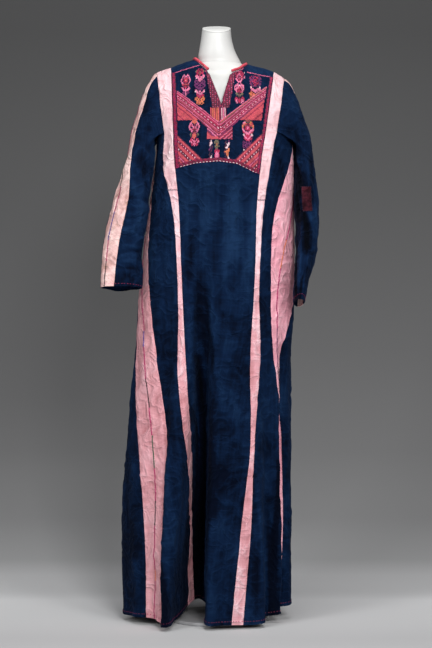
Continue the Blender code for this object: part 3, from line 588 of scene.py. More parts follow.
def cloth_piece(name, outer, normal, across, along, rub, finish, slot, thick=CLOTH):
    """A closed thin shell from a grid of points.  across and along are its weave's directions
    in metres; the value after them is how far the cloth stands out, with painted shade added:
    it makes worn crests paler and paints hollows and shaded folds darker."""
    rows, columns = outer.shape[:2]
    points = np.concatenate([outer.reshape(-1, 3), (outer - thick * normal).reshape(-1, 3)])
    spot = np.arange(rows * columns).reshape(rows, columns)
    below = spot + rows * columns
    faces = np.concatenate([
        np.stack([spot[:-1, :-1], spot[:-1, 1:], spot[1:, 1:], spot[1:, :-1]], -1).reshape(-1, 4),
        np.stack([below[:-1, :-1], below[1:, :-1], below[1:, 1:], below[:-1, 1:]], -1).reshape(-1, 4),
        np.stack([spot[0, 1:], spot[0, :-1], below[0, :-1], below[0, 1:]], -1),
        np.stack([spot[-1, :-1], spot[-1, 1:], below[-1, 1:], below[-1, :-1]], -1),
        np.stack([spot[:-1, 0], spot[1:, 0], below[1:, 0], below[:-1, 0]], -1),
        np.stack([spot[1:, -1], spot[:-1, -1], below[:-1, -1], below[1:, -1]], -1),
    ])
    piece = finished_piece(name, points, faces.tolist(), [finish], slot)
    flat = np.tile(np.stack([across, along], -1).reshape(-1, 2), (2, 1))
    corners = np.empty(len(piece.data.loops), int)
    piece.data.loops.foreach_get("vertex_index", corners)
    piece.data.uv_layers.new(name="weave").data.foreach_set("uv", flat[corners].astype(np.float32).ravel())
    wear_and_shade_layer = piece.data.attributes.new("rub", "FLOAT", "POINT")
    wear_and_shade_layer.data.foreach_set("value", np.tile(rub.ravel(), 2).astype(np.float32))
    piece.data.set_sharp_from_angle(angle=math.radians(70))
    return piece


Cloth = namedtuple("Cloth", "piece grid face normal across along")
FOLD_ROWS = (0.0, 0.0009, 0.004, HEM_FOLD - 0.0022, HEM_FOLD - 0.0008, HEM_FOLD + 0.0008)


def hang_panel(name, left, right, finish, slot, neckline=None, low=0.0, high=1.0, corners=()):
    """A panel between two seams, from the hem to the underarm or over to the shoulder."""
    foot = low * UNDERARM
    rows = closer_at_edges((high - low) * UNDERARM, GRID_RISE)
    if low == 0.0:
        rows = np.concatenate([FOLD_ROWS, rows[rows > FOLD_ROWS[-1] + 0.003]])
    if neckline is not None:
        rows = np.append(rows[rows < (high - low) * UNDERARM - 0.003], (high - low) * UNDERARM)
    shares = np.clip((foot + rows) / UNDERARM, 0, 1)
    tracks = seam_tracks(left, right, shares)
    widest = max(walked[-1] for _, walked in tracks)
    places = closer_at_edges(widest, GRID_STEP) / widest
    for corner in corners:
        places[np.argmin(np.abs(places - corner))] = corner
    bearings, across = [], []
    for fine, walked in tracks:
        place = np.clip(places * walked[-1], SEAM / 2, walked[-1] - SEAM / 2)
        bearings.append(np.interp(place, walked, fine))
        across.append(place - walked[-1] / 2)
    bearings, across = np.array(bearings), np.array(across)
    hem = hem_height(bearings)
    grid = skirt(bearings, hem + shares[:, None] * (UNDERARM - hem))
    if neckline is not None:
        end = arch_end(bearings[-1], neckline)
        turn = np.arange(1, ARCH_COUNT + 1)[:, None] / ARCH_COUNT * end
        grid = np.concatenate([grid, arch(np.broadcast_to(bearings[-1], turn.shape), turn)])
        across = np.concatenate([across, np.repeat(across[-1:], ARCH_COUNT, axis=0)])
    normal = away_from_body(grid)
    along = walk_up(grid)
    from_seam = np.broadcast_to(np.minimum(places, 1 - places) * widest, along.shape)
    rise = body_creases(grid, normal)
    pucker = 0.0011 * np.exp(-from_seam / 0.014) * dents(grid + 1.7, 0.011, (3, 3, 1))
    roll = np.clip(1 - from_seam / EDGE_REACH, 0, 1) ** 2
    if low > 0.0:
        roll = np.maximum(roll, np.clip(1 - along / EDGE_REACH, 0, 1) ** 2)
    if high < 1.0:
        roll = np.maximum(roll, np.clip(1 - (along[-1] - along) / EDGE_REACH, 0, 1) ** 2)
    fold = 0.0007 * np.clip((HEM_FOLD - along) / 0.0016, 0, 1) if low == 0.0 else 0.0
    face = grid + (rise + pucker + fold - EDGE_ROLL * roll)[..., None] * normal
    # Painted shade: the long folds and the side panels are painted darker.
    dye = 0.0
    if slot != "pink_silk":
        dye = painted_fold_shade(grid, normal) - (SIDE_PAINTED_SHADE if name.startswith("side") else 0.0)
    piece = cloth_piece(name + "_cloth", face, away_from_body(face), across, along + foot,
                        rise + pucker + dye, finish, slot)
    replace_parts(piece, name)
    return Cloth(piece, grid, face, normal, across, along)


# The indigo's colours: the dark end stands for deeper dye and for painted shade in hollows and folds, the
# faded end for worn crests.
INDIGO_DARK = (0.0006, 0.0022, 0.009)
INDIGO_MAIN = (0.0026, 0.0112, 0.038)
INDIGO_FADED = (0.0070, 0.0245, 0.069)
# near black, painted into the deepest hollows as shadow
PAINTED_FOLD_SHADOW = (0.0002, 0.0003, 0.0010)
YARN = 0.00085            # from one thread of the cotton to the next


def weave_of(node, link, pitch, slub):
    """The up-and-over of warp and weft, with slubs, as a height, and long streaks in the yarn."""
    place = node("ShaderNodeUVMap", {"uv_map": "weave"}).outputs["UV"]
    waves = [node("ShaderNodeTexWave", {"bands_direction": way}, Vector=place, Scale=0.314 / pitch,
                  Distortion=0.8, Detail=1.0, Detail_Scale=1.5).outputs["Fac"] for way in ("X", "Y")]
    long_way = node("ShaderNodeMapping", Vector=place, Scale=(140.0, 7.0, 1.0)).outputs["Vector"]
    cross_way = node("ShaderNodeMapping", Vector=place, Scale=(9.0, 420.0, 1.0)).outputs["Vector"]
    warp, weft = (node("ShaderNodeTexNoise", Vector=way, Scale=1.0, Detail=3.0).outputs["Fac"]
                  for way in (long_way, cross_way))
    crossing = node("ShaderNodeMath", {"operation": "MULTIPLY"})
    slubs = node("ShaderNodeMath", {"operation": "ADD"})
    thick = node("ShaderNodeMath", {"operation": "MULTIPLY_ADD"})
    link(waves[0], crossing.inputs[0])
    link(waves[1], crossing.inputs[1])
    link(warp, slubs.inputs[0])
    link(weft, slubs.inputs[1])
    link(slubs.outputs[0], thick.inputs[0])
    thick.inputs[1].default_value = slub
    link(crossing.outputs[0], thick.inputs[2])
    return thick.outputs[0], slubs.outputs[0]


def laid_over(node, link, colour, over, share):
    """One colour showing through another."""
    mix = node("ShaderNodeMix", {"data_type": "RGBA"})
    sockets = {socket.identifier: socket for socket in [*mix.inputs, *mix.outputs]}
    link(share, sockets["Factor_Float"])
    link(colour, sockets["A_Color"])
    sockets["B_Color"].default_value = (*over, 1)
    return sockets["Result_Color"]


def worn_cloth(name, colours, pitch, slub, cloud_size, wear_and_shade_share, streak_share, cloud_share, rough,
               stain=None, painted_height_light=None):
    """Dyed cloth: a ramp of colours driven by how far the cloth stands out (worn crests paler,
    hollows painted darker as shade), streaky yarn, cloudy fading, crumple lines raised in the bump
    and paler in colour, and painted light by height; the deepest hollows are painted near black as shadow.
    """
    finish, shader, node, link = new_finish(name)
    height, streaks = weave_of(node, link, pitch, slub)
    place = node("ShaderNodeTexCoord").outputs["Object"]
    cloud = node("ShaderNodeTexNoise", Vector=place, Scale=cloud_size, Detail=5.0, Roughness=0.62)
    # How far the cloth stands out, with painted shade added: hollows are painted darker as shade, worn crests
    # paler.
    rub = node("ShaderNodeAttribute", {"attribute_name": "rub"})
    terms = [node("ShaderNodeMapRange", Value=rub.outputs["Fac"], From_Min=-0.005, From_Max=0.0045,
                  To_Min=0.5 - wear_and_shade_share, To_Max=0.5 + wear_and_shade_share),
             node("ShaderNodeMapRange", Value=streaks, From_Min=0.75, From_Max=1.25,
                  To_Min=-streak_share, To_Max=streak_share),
             node("ShaderNodeMapRange", Value=cloud.outputs["Fac"], From_Min=0.3, From_Max=0.7,
                  To_Min=-cloud_share, To_Max=cloud_share)]
    # Painted light by height: between two heights the colour shifts from one tone to another, as the light
    # falls on the cloth.
    if painted_height_light is not None:
        up = node("ShaderNodeSeparateXYZ", Vector=place).outputs["Z"]
        terms.append(node("ShaderNodeMapRange", Value=up, From_Min=painted_height_light[0], From_Max=painted_height_light[1], To_Min=painted_height_light[3],
                          To_Max=painted_height_light[2] + painted_height_light[3]))
    crumple = node("ShaderNodeTexNoise", {"noise_type": "RIDGED_MULTIFRACTAL"}, Vector=place, Scale=24.0,
                   Detail=4.0, Distortion=1.3, Offset=1.0)
    terms.append(node("ShaderNodeMapRange", Value=crumple.outputs["Fac"], From_Min=0.5, From_Max=1.7,
                      To_Min=-0.10, To_Max=0.16))
    total = terms[0].outputs["Result"]
    for term in terms[1:]:
        both = node("ShaderNodeMath", {"operation": "ADD"})
        link(total, both.inputs[0])
        link(term.outputs["Result"], both.inputs[1])
        total = both.outputs[0]
    colour = ramp_of(node, total, (0.0, colours[0]), (0.5, colours[1]), (1.0, colours[2]))
    if stain is not None:
        spots = node("ShaderNodeTexNoise", Vector=place, Scale=stain[1], Detail=6.0, Roughness=0.7)
        where = node("ShaderNodeMapRange", Value=spots.outputs["Fac"], From_Min=stain[2],
                     From_Max=stain[2] + 0.12, To_Min=0.0, To_Max=stain[3])
        colour = laid_over(node, link, colour, stain[0], where.outputs["Result"])
    # Painted shadow: the deepest hollows are painted near black.
    deep = node("ShaderNodeMapRange", Value=rub.outputs["Fac"], From_Min=-0.019, From_Max=-0.006,
                To_Min=0.88, To_Max=0.0)
    colour = laid_over(node, link, colour, PAINTED_FOLD_SHADOW, deep.outputs["Result"])
    link(colour, shader.inputs["Base Color"])
    soft = node("ShaderNodeBump", Height=crumple.outputs["Fac"], Strength=0.8, Distance=0.0036)
    bump = node("ShaderNodeBump", Height=height, Strength=0.55, Distance=0.0003)
    link(soft.outputs["Normal"], bump.inputs["Normal"])
    link(bump.outputs["Normal"], shader.inputs["Normal"])
    set_on(shader, Roughness=rough, Specular_IOR_Level=0.12)
    return finish, shader


# The indigo is painted darker towards the hem and lighter higher up: painted light and shade by height.
indigo, shader = worn_cloth("indigo_cotton", (INDIGO_DARK, INDIGO_MAIN, INDIGO_FADED), YARN, 1.3,
                            6.0, 0.50, 0.13, 0.14, 0.82, painted_height_light=(0.02, 1.10, 0.24, -0.17))
set_on(shader, Specular_IOR_Level=0.04, Sheen_Weight=0.03, Sheen_Roughness=0.5,
       Sheen_Tint=(0.25, 0.45, 1.0, 1))

RIDGE_SPAN = FAN[4].ridge - FAN[2].ridge
NECK_CORNERS = [(x - FAN[2].ridge) / RIDGE_SPAN
                for x in (NECK_RIGHT, SLIT_RIGHT, SLIT_FOOT, SLIT_LEFT, NECK_LEFT)]
front = hang_panel("front_panel", "right front panel", "left front panel", indigo, "indigo_cotton",
                   FRONT_EDGE, corners=NECK_CORNERS)
back = hang_panel("back_panel", "left back panel", "right back panel", indigo, "indigo_cotton", BACK_EDGE)

SidePanel = namedtuple("SidePanel", "name left right wide long area")
SIDE_PANELS = (
    SidePanel("side_front_right", "right gore front", "right front strip", 0.26, 1.33, 0.170),
    SidePanel("side_front_left", "left front strip", "left gore front", 0.22, 1.32, 0.140),
    SidePanel("side_back_right", "right back strip", "right gore back", 0.43, 1.32, 0.340),
    SidePanel("side_back_left", "left gore back", "left back strip", 0.18, 1.31, 0.165),
)
hung = {"front_panel": front, "back_panel": back}
for row in SIDE_PANELS:
    hung[row.name] = hang_panel(row.name, row.left, row.right, indigo, "indigo_cotton")


# The pink silk: faded strips let in beside the front and the back, the front ones pieced at a
# tuck below the chest, and the gores at the sides, each of two lengths joined down the middle.

# The pink silk's colours: the dark end stands for deeper dye and for painted shade in hollows, the pale end
# for worn crests.
PINK_DEEP_AND_SHADED = (0.66, 0.33, 0.36)
PINK_MAIN = (0.88, 0.55, 0.59)
PINK_PALE = (0.95, 0.72, 0.74)
PINK_STAIN = (0.42, 0.20, 0.17)
TUCK_RIGHT = 1.146
TUCK_LEFT = 1.119


def share_of(z):
    return (z - HEM[FRONT_HEM].z) / (UNDERARM - HEM[FRONT_HEM].z)


SILK_YARN = 0.0006        # from one thread of the silk to the next


def faded_silk(name, colours, stain_size=30.0, painted_height_light=None):
    silk, shader = worn_cloth(name, colours, SILK_YARN, 1.5, 9.0, 0.34, 0.16, 0.22, 0.62,
                              (PINK_STAIN, stain_size, 0.60, 0.35), painted_height_light)
    set_on(shader, Sheen_Weight=0.06)
    return silk


pink = faded_silk("pink_silk", (PINK_DEEP_AND_SHADED, PINK_MAIN, PINK_PALE), 34.0)
# The gores' and strips' silk: each dark end stands for deeper dye and for painted shade in hollows.
salmon = faded_silk("pink_silk_gores", ((0.47, 0.18, 0.20), (0.72, 0.34, 0.38), (0.84, 0.48, 0.53)))
# The lower strips are painted lighter towards their top: painted light by height.
salmon_strips = faded_silk("pink_silk_strips", ((0.47, 0.18, 0.20), (0.70, 0.33, 0.37), (0.90, 0.62, 0.67)),
                           painted_height_light=(0.62, 1.02, 0.42, 0.0))
# A lighter copy of the gore silk for the left gore: painted light, as if this gore were lit more.
gore_silk_lit = faded_silk("pink_silk_left_gore", ((0.56, 0.20, 0.26), (0.84, 0.38, 0.46), (0.93, 0.54, 0.61)))

Strip = namedtuple("Strip", "name left right low high edge finish wide long area")
STRIPS = (
    Strip("strip_front_right_lower", "right front strip", "right front panel", 0.0, share_of(TUCK_RIGHT),
          None, salmon_strips, 0.055, 1.17, 0.032),
    Strip("strip_front_right_upper", "right front strip", "right front panel", share_of(TUCK_RIGHT), 1.0,
          FRONT_EDGE, pink, 0.048, 0.40, 0.016),
    Strip("strip_front_left_lower", "left front panel", "left front strip", 0.0, share_of(TUCK_LEFT),
          None, salmon_strips, 0.034, 1.13, 0.027),
    Strip("strip_front_left_upper", "left front panel", "left front strip", share_of(TUCK_LEFT), 1.0,
          FRONT_EDGE, pink, 0.036, 0.42, 0.0138),
    Strip("gore_right_front", "right gore middle", "right gore front", 0.0, 1.0, None, salmon,
          0.066, 1.33, 0.060),
    Strip("gore_right_back", "right gore back", "right gore middle", 0.0, 1.0, None, salmon,
          0.068, 1.32, 0.065),
    Strip("gore_left_front", "left gore front", "left gore middle", 0.0, 1.0, None, gore_silk_lit,
          0.072, 1.32, 0.040),
    Strip("gore_left_back", "left gore middle", "left gore back", 0.0, 1.0, None, gore_silk_lit,
          0.120, 1.31, 0.060),
    Strip("strip_back_right", "right back panel", "right back strip", 0.0, 1.0, BACK_EDGE, salmon,
          0.046, 1.52, 0.060),
    Strip("strip_back_left", "left back strip", "left back panel", 0.0, 1.0, BACK_EDGE, salmon,
          0.050, 1.51, 0.063),
)
for row in STRIPS:
    hung[row.name] = hang_panel(row.name, row.left, row.right, row.finish, "pink_silk", row.edge,
                                row.low, row.high)


# The sewing on the body: bright silk whipped over the gores' middle seams, each length of
# thread another colour, dark thread at the tucks and small pink stitches where silk is pieced.

THREADS = {
    "magenta": (0.46, 0.012, 0.13),
    "blue": (0.03, 0.03, 0.32),
    "black": (0.008, 0.007, 0.012),
    "green": (0.03, 0.10, 0.05),
    "orange": (0.74, 0.19, 0.08),
    "purple": (0.16, 0.014, 0.11),
    "red": (0.47, 0.012, 0.075),
    "coral": (0.66, 0.085, 0.115),
    "pink": (0.82, 0.20, 0.36),
    "blush": (0.93, 0.66, 0.72),
    "maroon": (0.15, 0.006, 0.040),
    "navy": (0.008, 0.014, 0.05),
    "crimson": (0.31, 0.008, 0.060),
    "plum": (0.075, 0.007, 0.038),
    "olive": (0.16, 0.13, 0.08),
}


def silk_thread(name, colour):
    """Twisted silk: a soft shine, fine twist lines and uneven dye."""
    finish, shader, node, link = new_finish("thread_" + name)
    place = node("ShaderNodeTexCoord").outputs["Object"]
    dye = node("ShaderNodeTexNoise", Vector=place, Scale=70.0, Detail=3.0)
    deep = tuple(0.62 * c for c in colour)
    link(ramp_of(node, dye.outputs["Fac"], (0.3, deep), (0.6, colour)), shader.inputs["Base Color"])
    twist = node("ShaderNodeTexWave", {"bands_direction": "DIAGONAL"}, Vector=place, Scale=900.0,
                 Distortion=1.0)
    embossed(shader, node, link, twist.outputs["Fac"], 0.4, 0.00015)
    set_on(shader, Roughness=0.5, Specular_IOR_Level=0.35)
    return finish


thread = {name: silk_thread(name, colour) for name, colour in THREADS.items()}
spools = list(thread)


def laid_stitches(name, start, end, up, colours, slot, half_wide=0.00055, rise=0.0006):
    """Short rounded strands of thread from each start to its end, standing off the cloth."""
    start, end, up = (np.asarray(part, float) for part in (start, end, up))
    run = end - start
    side = unit(np.cross(run, up)) * np.broadcast_to(half_wide, len(run))[:, None]
    top = up * np.broadcast_to(rise, len(run))[:, None]
    a, b = start + 0.28 * run, start + 0.72 * run
    low = 0.3 * top
    points = np.stack([start, a - side + low, a + top, a + side + low,
                       b - side + low, b + top, b + side + low, end], axis=1).reshape(-1, 3)
    tri = np.array([(0, 2, 1), (0, 3, 2), (1, 2, 5), (1, 5, 4), (2, 3, 6), (2, 6, 5), (4, 5, 7), (5, 6, 7)])
    faces = (np.arange(len(run))[:, None, None] * 8 + tri).reshape(-1, 3)
    used = sorted(set(colours), key=spools.index)
    piece = finished_piece(name, points, faces.tolist(), [thread[c] for c in used], slot)
    index = np.repeat([used.index(c) for c in colours], len(tri))
    piece.data.polygons.foreach_set("material_index", index.astype(np.int32))
    return piece


def seam_line(cloth, edge, first=0, last=None):
    """A run of points and facings along one edge of a hung panel."""
    return cloth.face[first:last, edge], cloth.normal[first:last, edge]


def evenly(points, facings, step, wander=0.0, seed=1):
    """Places every step along a line, with the way up, the way along and the height there."""
    walked = walked_along(points)
    count = max(2, int(walked[-1] / step))
    at = np.linspace(step / 2, walked[-1] - step / 2, count)
    at = at + np.random.default_rng(seed).uniform(-wander, wander, count) * step
    place = np.stack([np.interp(at, walked, points[:, k]) for k in range(3)], -1)
    up = unit(np.stack([np.interp(at, walked, facings[:, k]) for k in range(3)], -1))
    ahead = unit(np.stack([np.interp(at + 0.001, walked, points[:, k]) for k in range(3)], -1)
                 - np.stack([np.interp(at - 0.001, walked, points[:, k]) for k in range(3)], -1))
    return place, up, ahead


def whipped(name, points, facings, step, reach, colour_at, slot, seed=1, slant=0.25, **size):
    """Stitches across a seam, a little uneven in length and slant."""
    place, up, ahead = evenly(points, facings, step, 0.2, seed)
    uneven = np.random.default_rng(seed).uniform(0.75, 1.15, len(place))[:, None]
    over = unit(np.cross(ahead, up)) * reach * uneven
    lean = ahead * reach * slant
    lift = up * 0.0009
    colours = [colour_at(z) for z in place[:, 2]]
    return laid_stitches(name, place - over - lean + lift * 0.4, place + over + lean + lift * 0.4, up,
                         colours, slot, **size)


SEAM_SILK = 0.0023        # from one stitch over a seam to the next, and its reach to each side
SeamThread = namedtuple("SeamThread", "below colour")
RIGHT_GORE_THREADS = [SeamThread(*row) for row in (
    (0.12, "magenta"), (0.15, "orange"), (0.265, "magenta"), (0.33, "black"), (0.415, "magenta"),
    (0.502, "green"), (0.572, "magenta"), (0.648, "black"), (0.732, "magenta"), (0.775, "blue"),
    (2.0, "magenta"),
)]
LEFT_GORE_THREADS = [SeamThread(*row) for row in (
    (0.18, "magenta"), (0.3, "green"), (0.6, "magenta"), (0.68, "black"), (0.782, "purple"),
    (0.94, "magenta"), (1.015, "orange"), (2.0, "magenta"),
)]


def colour_by_height(rows):
    def colour_at(z):
        for row in rows:
            if z < row.below:
                return row.colour
        return rows[-1].colour
    return colour_at


for side, edge, rows in (("right", 0, RIGHT_GORE_THREADS), ("left", -1, LEFT_GORE_THREADS)):
    points, facings = seam_line(hung[f"gore_{side}_front"], edge)
    whipped(f"gore_{side}_seam_silk", points, facings, SEAM_SILK, SEAM_SILK, colour_by_height(rows),
            "coral_binding", half_wide=0.00125, rise=0.0018)

for side in ("right", "left"):
    upper = hung[f"strip_front_{side}_upper"]
    points, facings = upper.face[0], upper.normal[0]
    whipped(f"tuck_{side}_thread", points, facings, 0.0030, 0.0030, lambda z: "navy", "indigo_cotton",
            seed=4, slant=0.6, half_wide=0.0006, rise=0.0009)

Piecing = namedtuple("Piecing", "strip z")
PIECINGS = (
    Piecing("strip_front_right_upper", 1.338),
    Piecing("strip_front_right_upper", 1.222),
    Piecing("strip_front_left_upper", 1.284),
    Piecing("strip_back_right", 1.180),
    Piecing("strip_back_left", 0.960),
)
for number, row in enumerate(PIECINGS):
    cloth = hung[row.strip]
    level = int(np.argmin(np.abs(cloth.grid[:, cloth.grid.shape[1] // 2, 2] - row.z)))
    whipped(f"silk_piecing_{number + 1}", cloth.face[level], cloth.normal[level], 0.0030, 0.0012,
            lambda z: "blush", "pink_silk", seed=number + 9, slant=0.3, half_wide=0.0005, rise=0.0005)


# The chest panel: its own square of indigo cotton worked all over in cross stitch with silk,
# sewn on beneath the neck slit.  Bands follow the slit, a chevron hangs below its point.

CHEST_FOOT = [Edge(*row) for row in (
    (-0.127, 1.199), (-0.095, 1.206), (-0.055, 1.214), (0.01, 1.219), (0.06, 1.213), (0.11, 1.192),
    (0.13, 1.186),
)]
CHEST_HEAD = [Edge(*row) for row in (
    (-0.13, 1.462), (-0.048, 1.484), (0.0, 1.6), (0.06, 1.6), (0.075, 1.466), (0.155, 1.451),
)]
CHEST_ROWS = 64
CHEST_LIFT = 0.0014
CHEST_CLOTH = 0.0007


def on_columns(grid, level):
    """Points of a grid at a fractional row in each column."""
    low = np.clip(np.floor(level).astype(int), 0, len(grid) - 2)
    share = (level - low)[..., None]
    column = np.broadcast_to(np.arange(grid.shape[1]), level.shape)
    return grid[low, column] * (1 - share) + grid[low + 1, column] * share


levels = np.arange(len(front.grid))
front_walked = walk_up(front.face)
level = []
for j in range(front.grid.shape[1]):
    heights = front.grid[:, j, 2]
    middle = front.grid[np.argmin(np.abs(heights - UNDERARM)), j, 0]
    foot = np.interp(middle, column_of(CHEST_FOOT, "x"), column_of(CHEST_FOOT, "z"))
    head = np.interp(front.grid[-1, j, 0], column_of(CHEST_HEAD, "x"), column_of(CHEST_HEAD, "z"))
    ends = (np.interp(foot, heights, levels), min(np.interp(head, heights, levels), len(front.grid) - 1.15))
    steps = np.linspace(*np.interp(ends, levels, front_walked[:, j]), CHEST_ROWS)
    level.append(np.interp(steps, front_walked[:, j], levels))
level = np.array(level).T
chest_normal = unit(on_columns(front.normal, level))
chest_grid = on_columns(front.face, level) + CHEST_LIFT * chest_normal
chest_along = walk_up(chest_grid)
chest_across = on_columns(front.across[..., None], level)[..., 0]
from_edge = np.minimum(chest_along, chest_along[-1] - chest_along)
chest_face = chest_grid - (0.0008 * np.clip(1 - from_edge / 0.003, 0, 1) ** 2)[..., None] * chest_normal
chest = cloth_piece("chest_panel_cloth", chest_face, away_from_body(chest_face), chest_across, chest_along,
                    np.full(level.shape, -0.002), indigo, "cross_stitched_panel", thick=CHEST_CLOTH)
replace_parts(chest, "chest_panel")

# The pattern is laid out in mm: across from the slit's middle line, and up from the height
# of the panel's lower corners.  Motifs are charted by the letter.
STITCH_WIDE = 2.0
STITCH_TALL = 1.9
CHEST_ZERO = 1.190
RIGHT_EDGE = (-111.0, -133.0)      # mm at the lower edge and 250 mm above it
LEFT_EDGE = (99.0, 134.0)

BUD = """
....p...p....
...ppp.ppp...
..pp.ppp.pp..
..p..prp..p..
.pp.prrrp.pp.
.p.rrrrrrr.p.
ppr.rcccr.rpp
pp..rcwcr..pp
p..rrcccrr..p
.p..rrrrr..p.
.pp.mmrmm.pp.
..pmmmmmmmp..
..ccccccccc..
..rmmmmmmmr..
...rmmrmmr...
..p.rrrrr.p..
.pp..rrr..pp.
.ppp..p..ppp.
..ppp.p.ppp..
...ppppppp...
....rpppr....
...uu.p.uu...
..uuuupuuuu..
...uu.p.uu...
....u.p.u....
......p......
""".split()
TREE = """
....rr.rr....
..grr.r.rrg..
.ggr.rrr.rgg.
..rrrgggrrr..
...rrggrrr...
..rr.rrr.rr..
.ppp..r..ppp.
.ppppp.ppppp.
..wppp.pppw..
....ppppp....
.uu.ppppp.uu.
uuuu.ppp.uuuu
uu.uu.u.uu.uu
.uuuuu.uuuuu.
uuuu.uuu.uuuu
uu..uuuuu..uu
.uuu.u.u.uuu.
..uuuuuuuuu..
....uu.uu....
.pp..uuu..pp.
.wpp.ppp.ppw.
..ppp.p.ppp..
....ppppp....
..rrr.p.rrr..
...rrrrrrr...
..oo.rrr.oo..
.oooo.o.oooo.
.oo.oo.oo.oo.
..ooo.o.ooo..
...orooooo...
..oo.ooo.oo..
....o.o.o....
""".split()
ROSE = """
...rrr.rrr...
..rr.rrr.rr.w
..r.rrprr.rr.
.w.rrp.prrr..
..rrp.r.prr.p
...rrp.prr.pp
..pp.rrr.pp..
...pp.r.pp...
....ppppp....
.....p.p.....
...pp...pp...
..ppppwppppp.
.pp.pprpp.pp.
.p.pprrrpp.p.
.pppr.r.rppp.
..pp.rrr.pp..
...prrmrrp...
..ggg.m.ggg..
...gggmggg...
.....gmg.....
..rr..m..rr..
.rrrr.r.rrrr.
.rpprrrrrppr.
..pp.rrr.pp..
...pp.r.pp...
""".split()
LATTICE = """
..r.u.r.u.u..
.r.uuu.rrr.u.
uuu.r.u.r.uuu
.uuu.rrr.uuu.
uu.rrr.uuu.uu
.r.u.rrr.r.u.
uuu.r.u.r.uuu
.uuu.rrr.uuu.
..r.uuuuu.u..
.ww.......ww.
.pppp...pppp.
..pppppppppp.
.rr.ppppp.rr.
.ooo..p..ooo.
oooroo.oorooo
.oorooooorr..
..oo.ooo.oo..
.oo.oo.oo.o..
..rooooorr...
....ooo......
""".split()
PALM = """
....oocoo....
....ccocc....
...poocoop...
..pp.coc.pp..
.ppp..c..ppp.
.pprp.m.prpp.
pprrpmmmprrpp
ppr.ppmpp.rpp
pp..pprpp..pp
.pp.prrrp.pp.
.pprrmmmrrpp.
..pppmmmppp..
..pp.mmm.pp..
...p.rmr.p...
..g..ccc..g..
.gg.ccocc.gg.
.g..coooc..g.
..g.cococ.g..
....ccocc....
...r.coc.r...
..rr..c..rr..
..rrp.r.prr..
.prrpprpprrp.
.ppr.ppp.rpp.
..pp.rpr.pp..
...rrppprr...
..rrrprprrr..
...rr.p.rr...
""".split()
LAMP = """
....rgggr....
...ggrrrgg...
..pp.ggg.oo..
.ppoo.r.oorr.
.poor.r.roor.
oorrg.r.grroo
oog.rrprr.goo
or..rpppr..ro
pp.rrpprrr.pp
ppp.rrrrr.ppp
.ppp..r..ppp.
.rrppp.ppprr.
..rrppppprr..
..w.rpppr.w..
.ww.rrrrr.ww.
..pprrrrrpp..
...pprrrpp...
..rrpprpprr..
...rrrprrr...
....rrrrr....
..u.u.u.u.u..
.u.uuu.uuu.u.
..u.uuuuu.u..
.u.uu.u.uu.u.
..uuu.u.uuu..
.u.uu.u.uu.u.
..u.uuuuu.u..
...u.uuu.u...
..w.u.u.u....
""".split()
CHAIN = """
..bbw.
..bww.
.bwww.
.bww..
.bw.b.
..b.bb
..uu.b
.uu.b.
.u.bb.
..bb..
..b.b.
.bb..b
..bbw.
..bww.
.bwww.
.bw.b.
""".split()
LINKS = """
..b.uu
.bb.ww
..bwww
.bbww.
.bww..
..b.oo
.boooo
boooo.
.booo.
..ooo.
.b.ow.
..bbww
.bwww.
.bww..
""".split()
POST = """
.ggg.
ggggg
ggogg
.gog.
ggggg
.ggg.
.rgr.
rrrrr
rrprr
.ppp.
rpppr
rpppr
.ppp.
rrprr
""".split()
LETTERS = {"p": "pink", "r": "red", "o": "orange", "u": "purple", "w": "blush", "m": "maroon",
           "c": "coral", "g": "olive", "b": "plum"}
Motif = namedtuple("Motif", "right left foot head chart")
MOTIFS = (
    Motif(-107, -80, 206, 267, BUD),
    Motif(-71, -41, 180, 282, TREE),
    Motif(33, 63, 184, 276, ROSE),
    Motif(74, 107, 192, 263, LATTICE),
    Motif(-85, -56, 70, 141, PALM),
    Motif(54, 86, 58, 141, LAMP),
    Motif(-35, -22, 31, 86, CHAIN),
    Motif(-18, -5, 33, 86, POST),
    Motif(7, 22, 27, 84, LINKS),
)
Mark = namedtuple("Mark", "mm up")
# Straight bands, laid out alike on both sides of the panel's middle at -6 mm.
CHEVRON_TOP = (Mark(-132, 233), Mark(-6, 134), Mark(120, 233))
CHEVRON_FOOT = (Mark(-132, 202), Mark(-6, 92), Mark(120, 202))
WING_FOOT = (Mark(-132, 140), Mark(-51, 140), Mark(-50, 400), Mark(38, 400), Mark(39, 140), Mark(120, 140))
BIB_FOOT = (Mark(-36, 88), Mark(24, 88))
CORNER_TOP = (Mark(-126, 112), Mark(-43, 28), Mark(-42, 0), Mark(30, 0), Mark(31, 28), Mark(114, 112))
SLIT_BAND_RIGHT = (Mark(-23, 172), Mark(-44, 290))
SLIT_BAND_LEFT = (Mark(21, 172), Mark(42, 290))
SLIT_FOOT_UP = 172        # where the neck slit ends, in mm
MIDDLE_MM = -6
# Colours from a band's upper edge down.
RIGHT_BANDS = ("pink", "crimson", "red", "pink", "red", "red", "crimson", "dots", "crimson", "red", "pink",
               "maroon", "coral", "crimson", "maroon", "pink", "crimson", "maroon")
LEFT_BANDS = ("pink", "coral", "olive", "crimson", "pink", "crimson", "red", "maroon", "pink", "crimson",
              "red", "dots", "red", "crimson", "pink", "maroon", "crimson", "purple")
CORNER_BANDS = ("maroon", "coral", "coral", "crimson", "dots", "crimson", "coral", "coral", "coral", "maroon",
                "dots", "maroon", "coral", "coral", "coral", "crimson", "pink", "crimson", "coral",
                "coral", "maroon", "dots", "maroon", "coral", "coral", "crimson")
BORDER = 5                # stitches across a side border


def line_at(marks, mm):
    return np.interp(mm, column_of(marks, "mm"), column_of(marks, "up"))


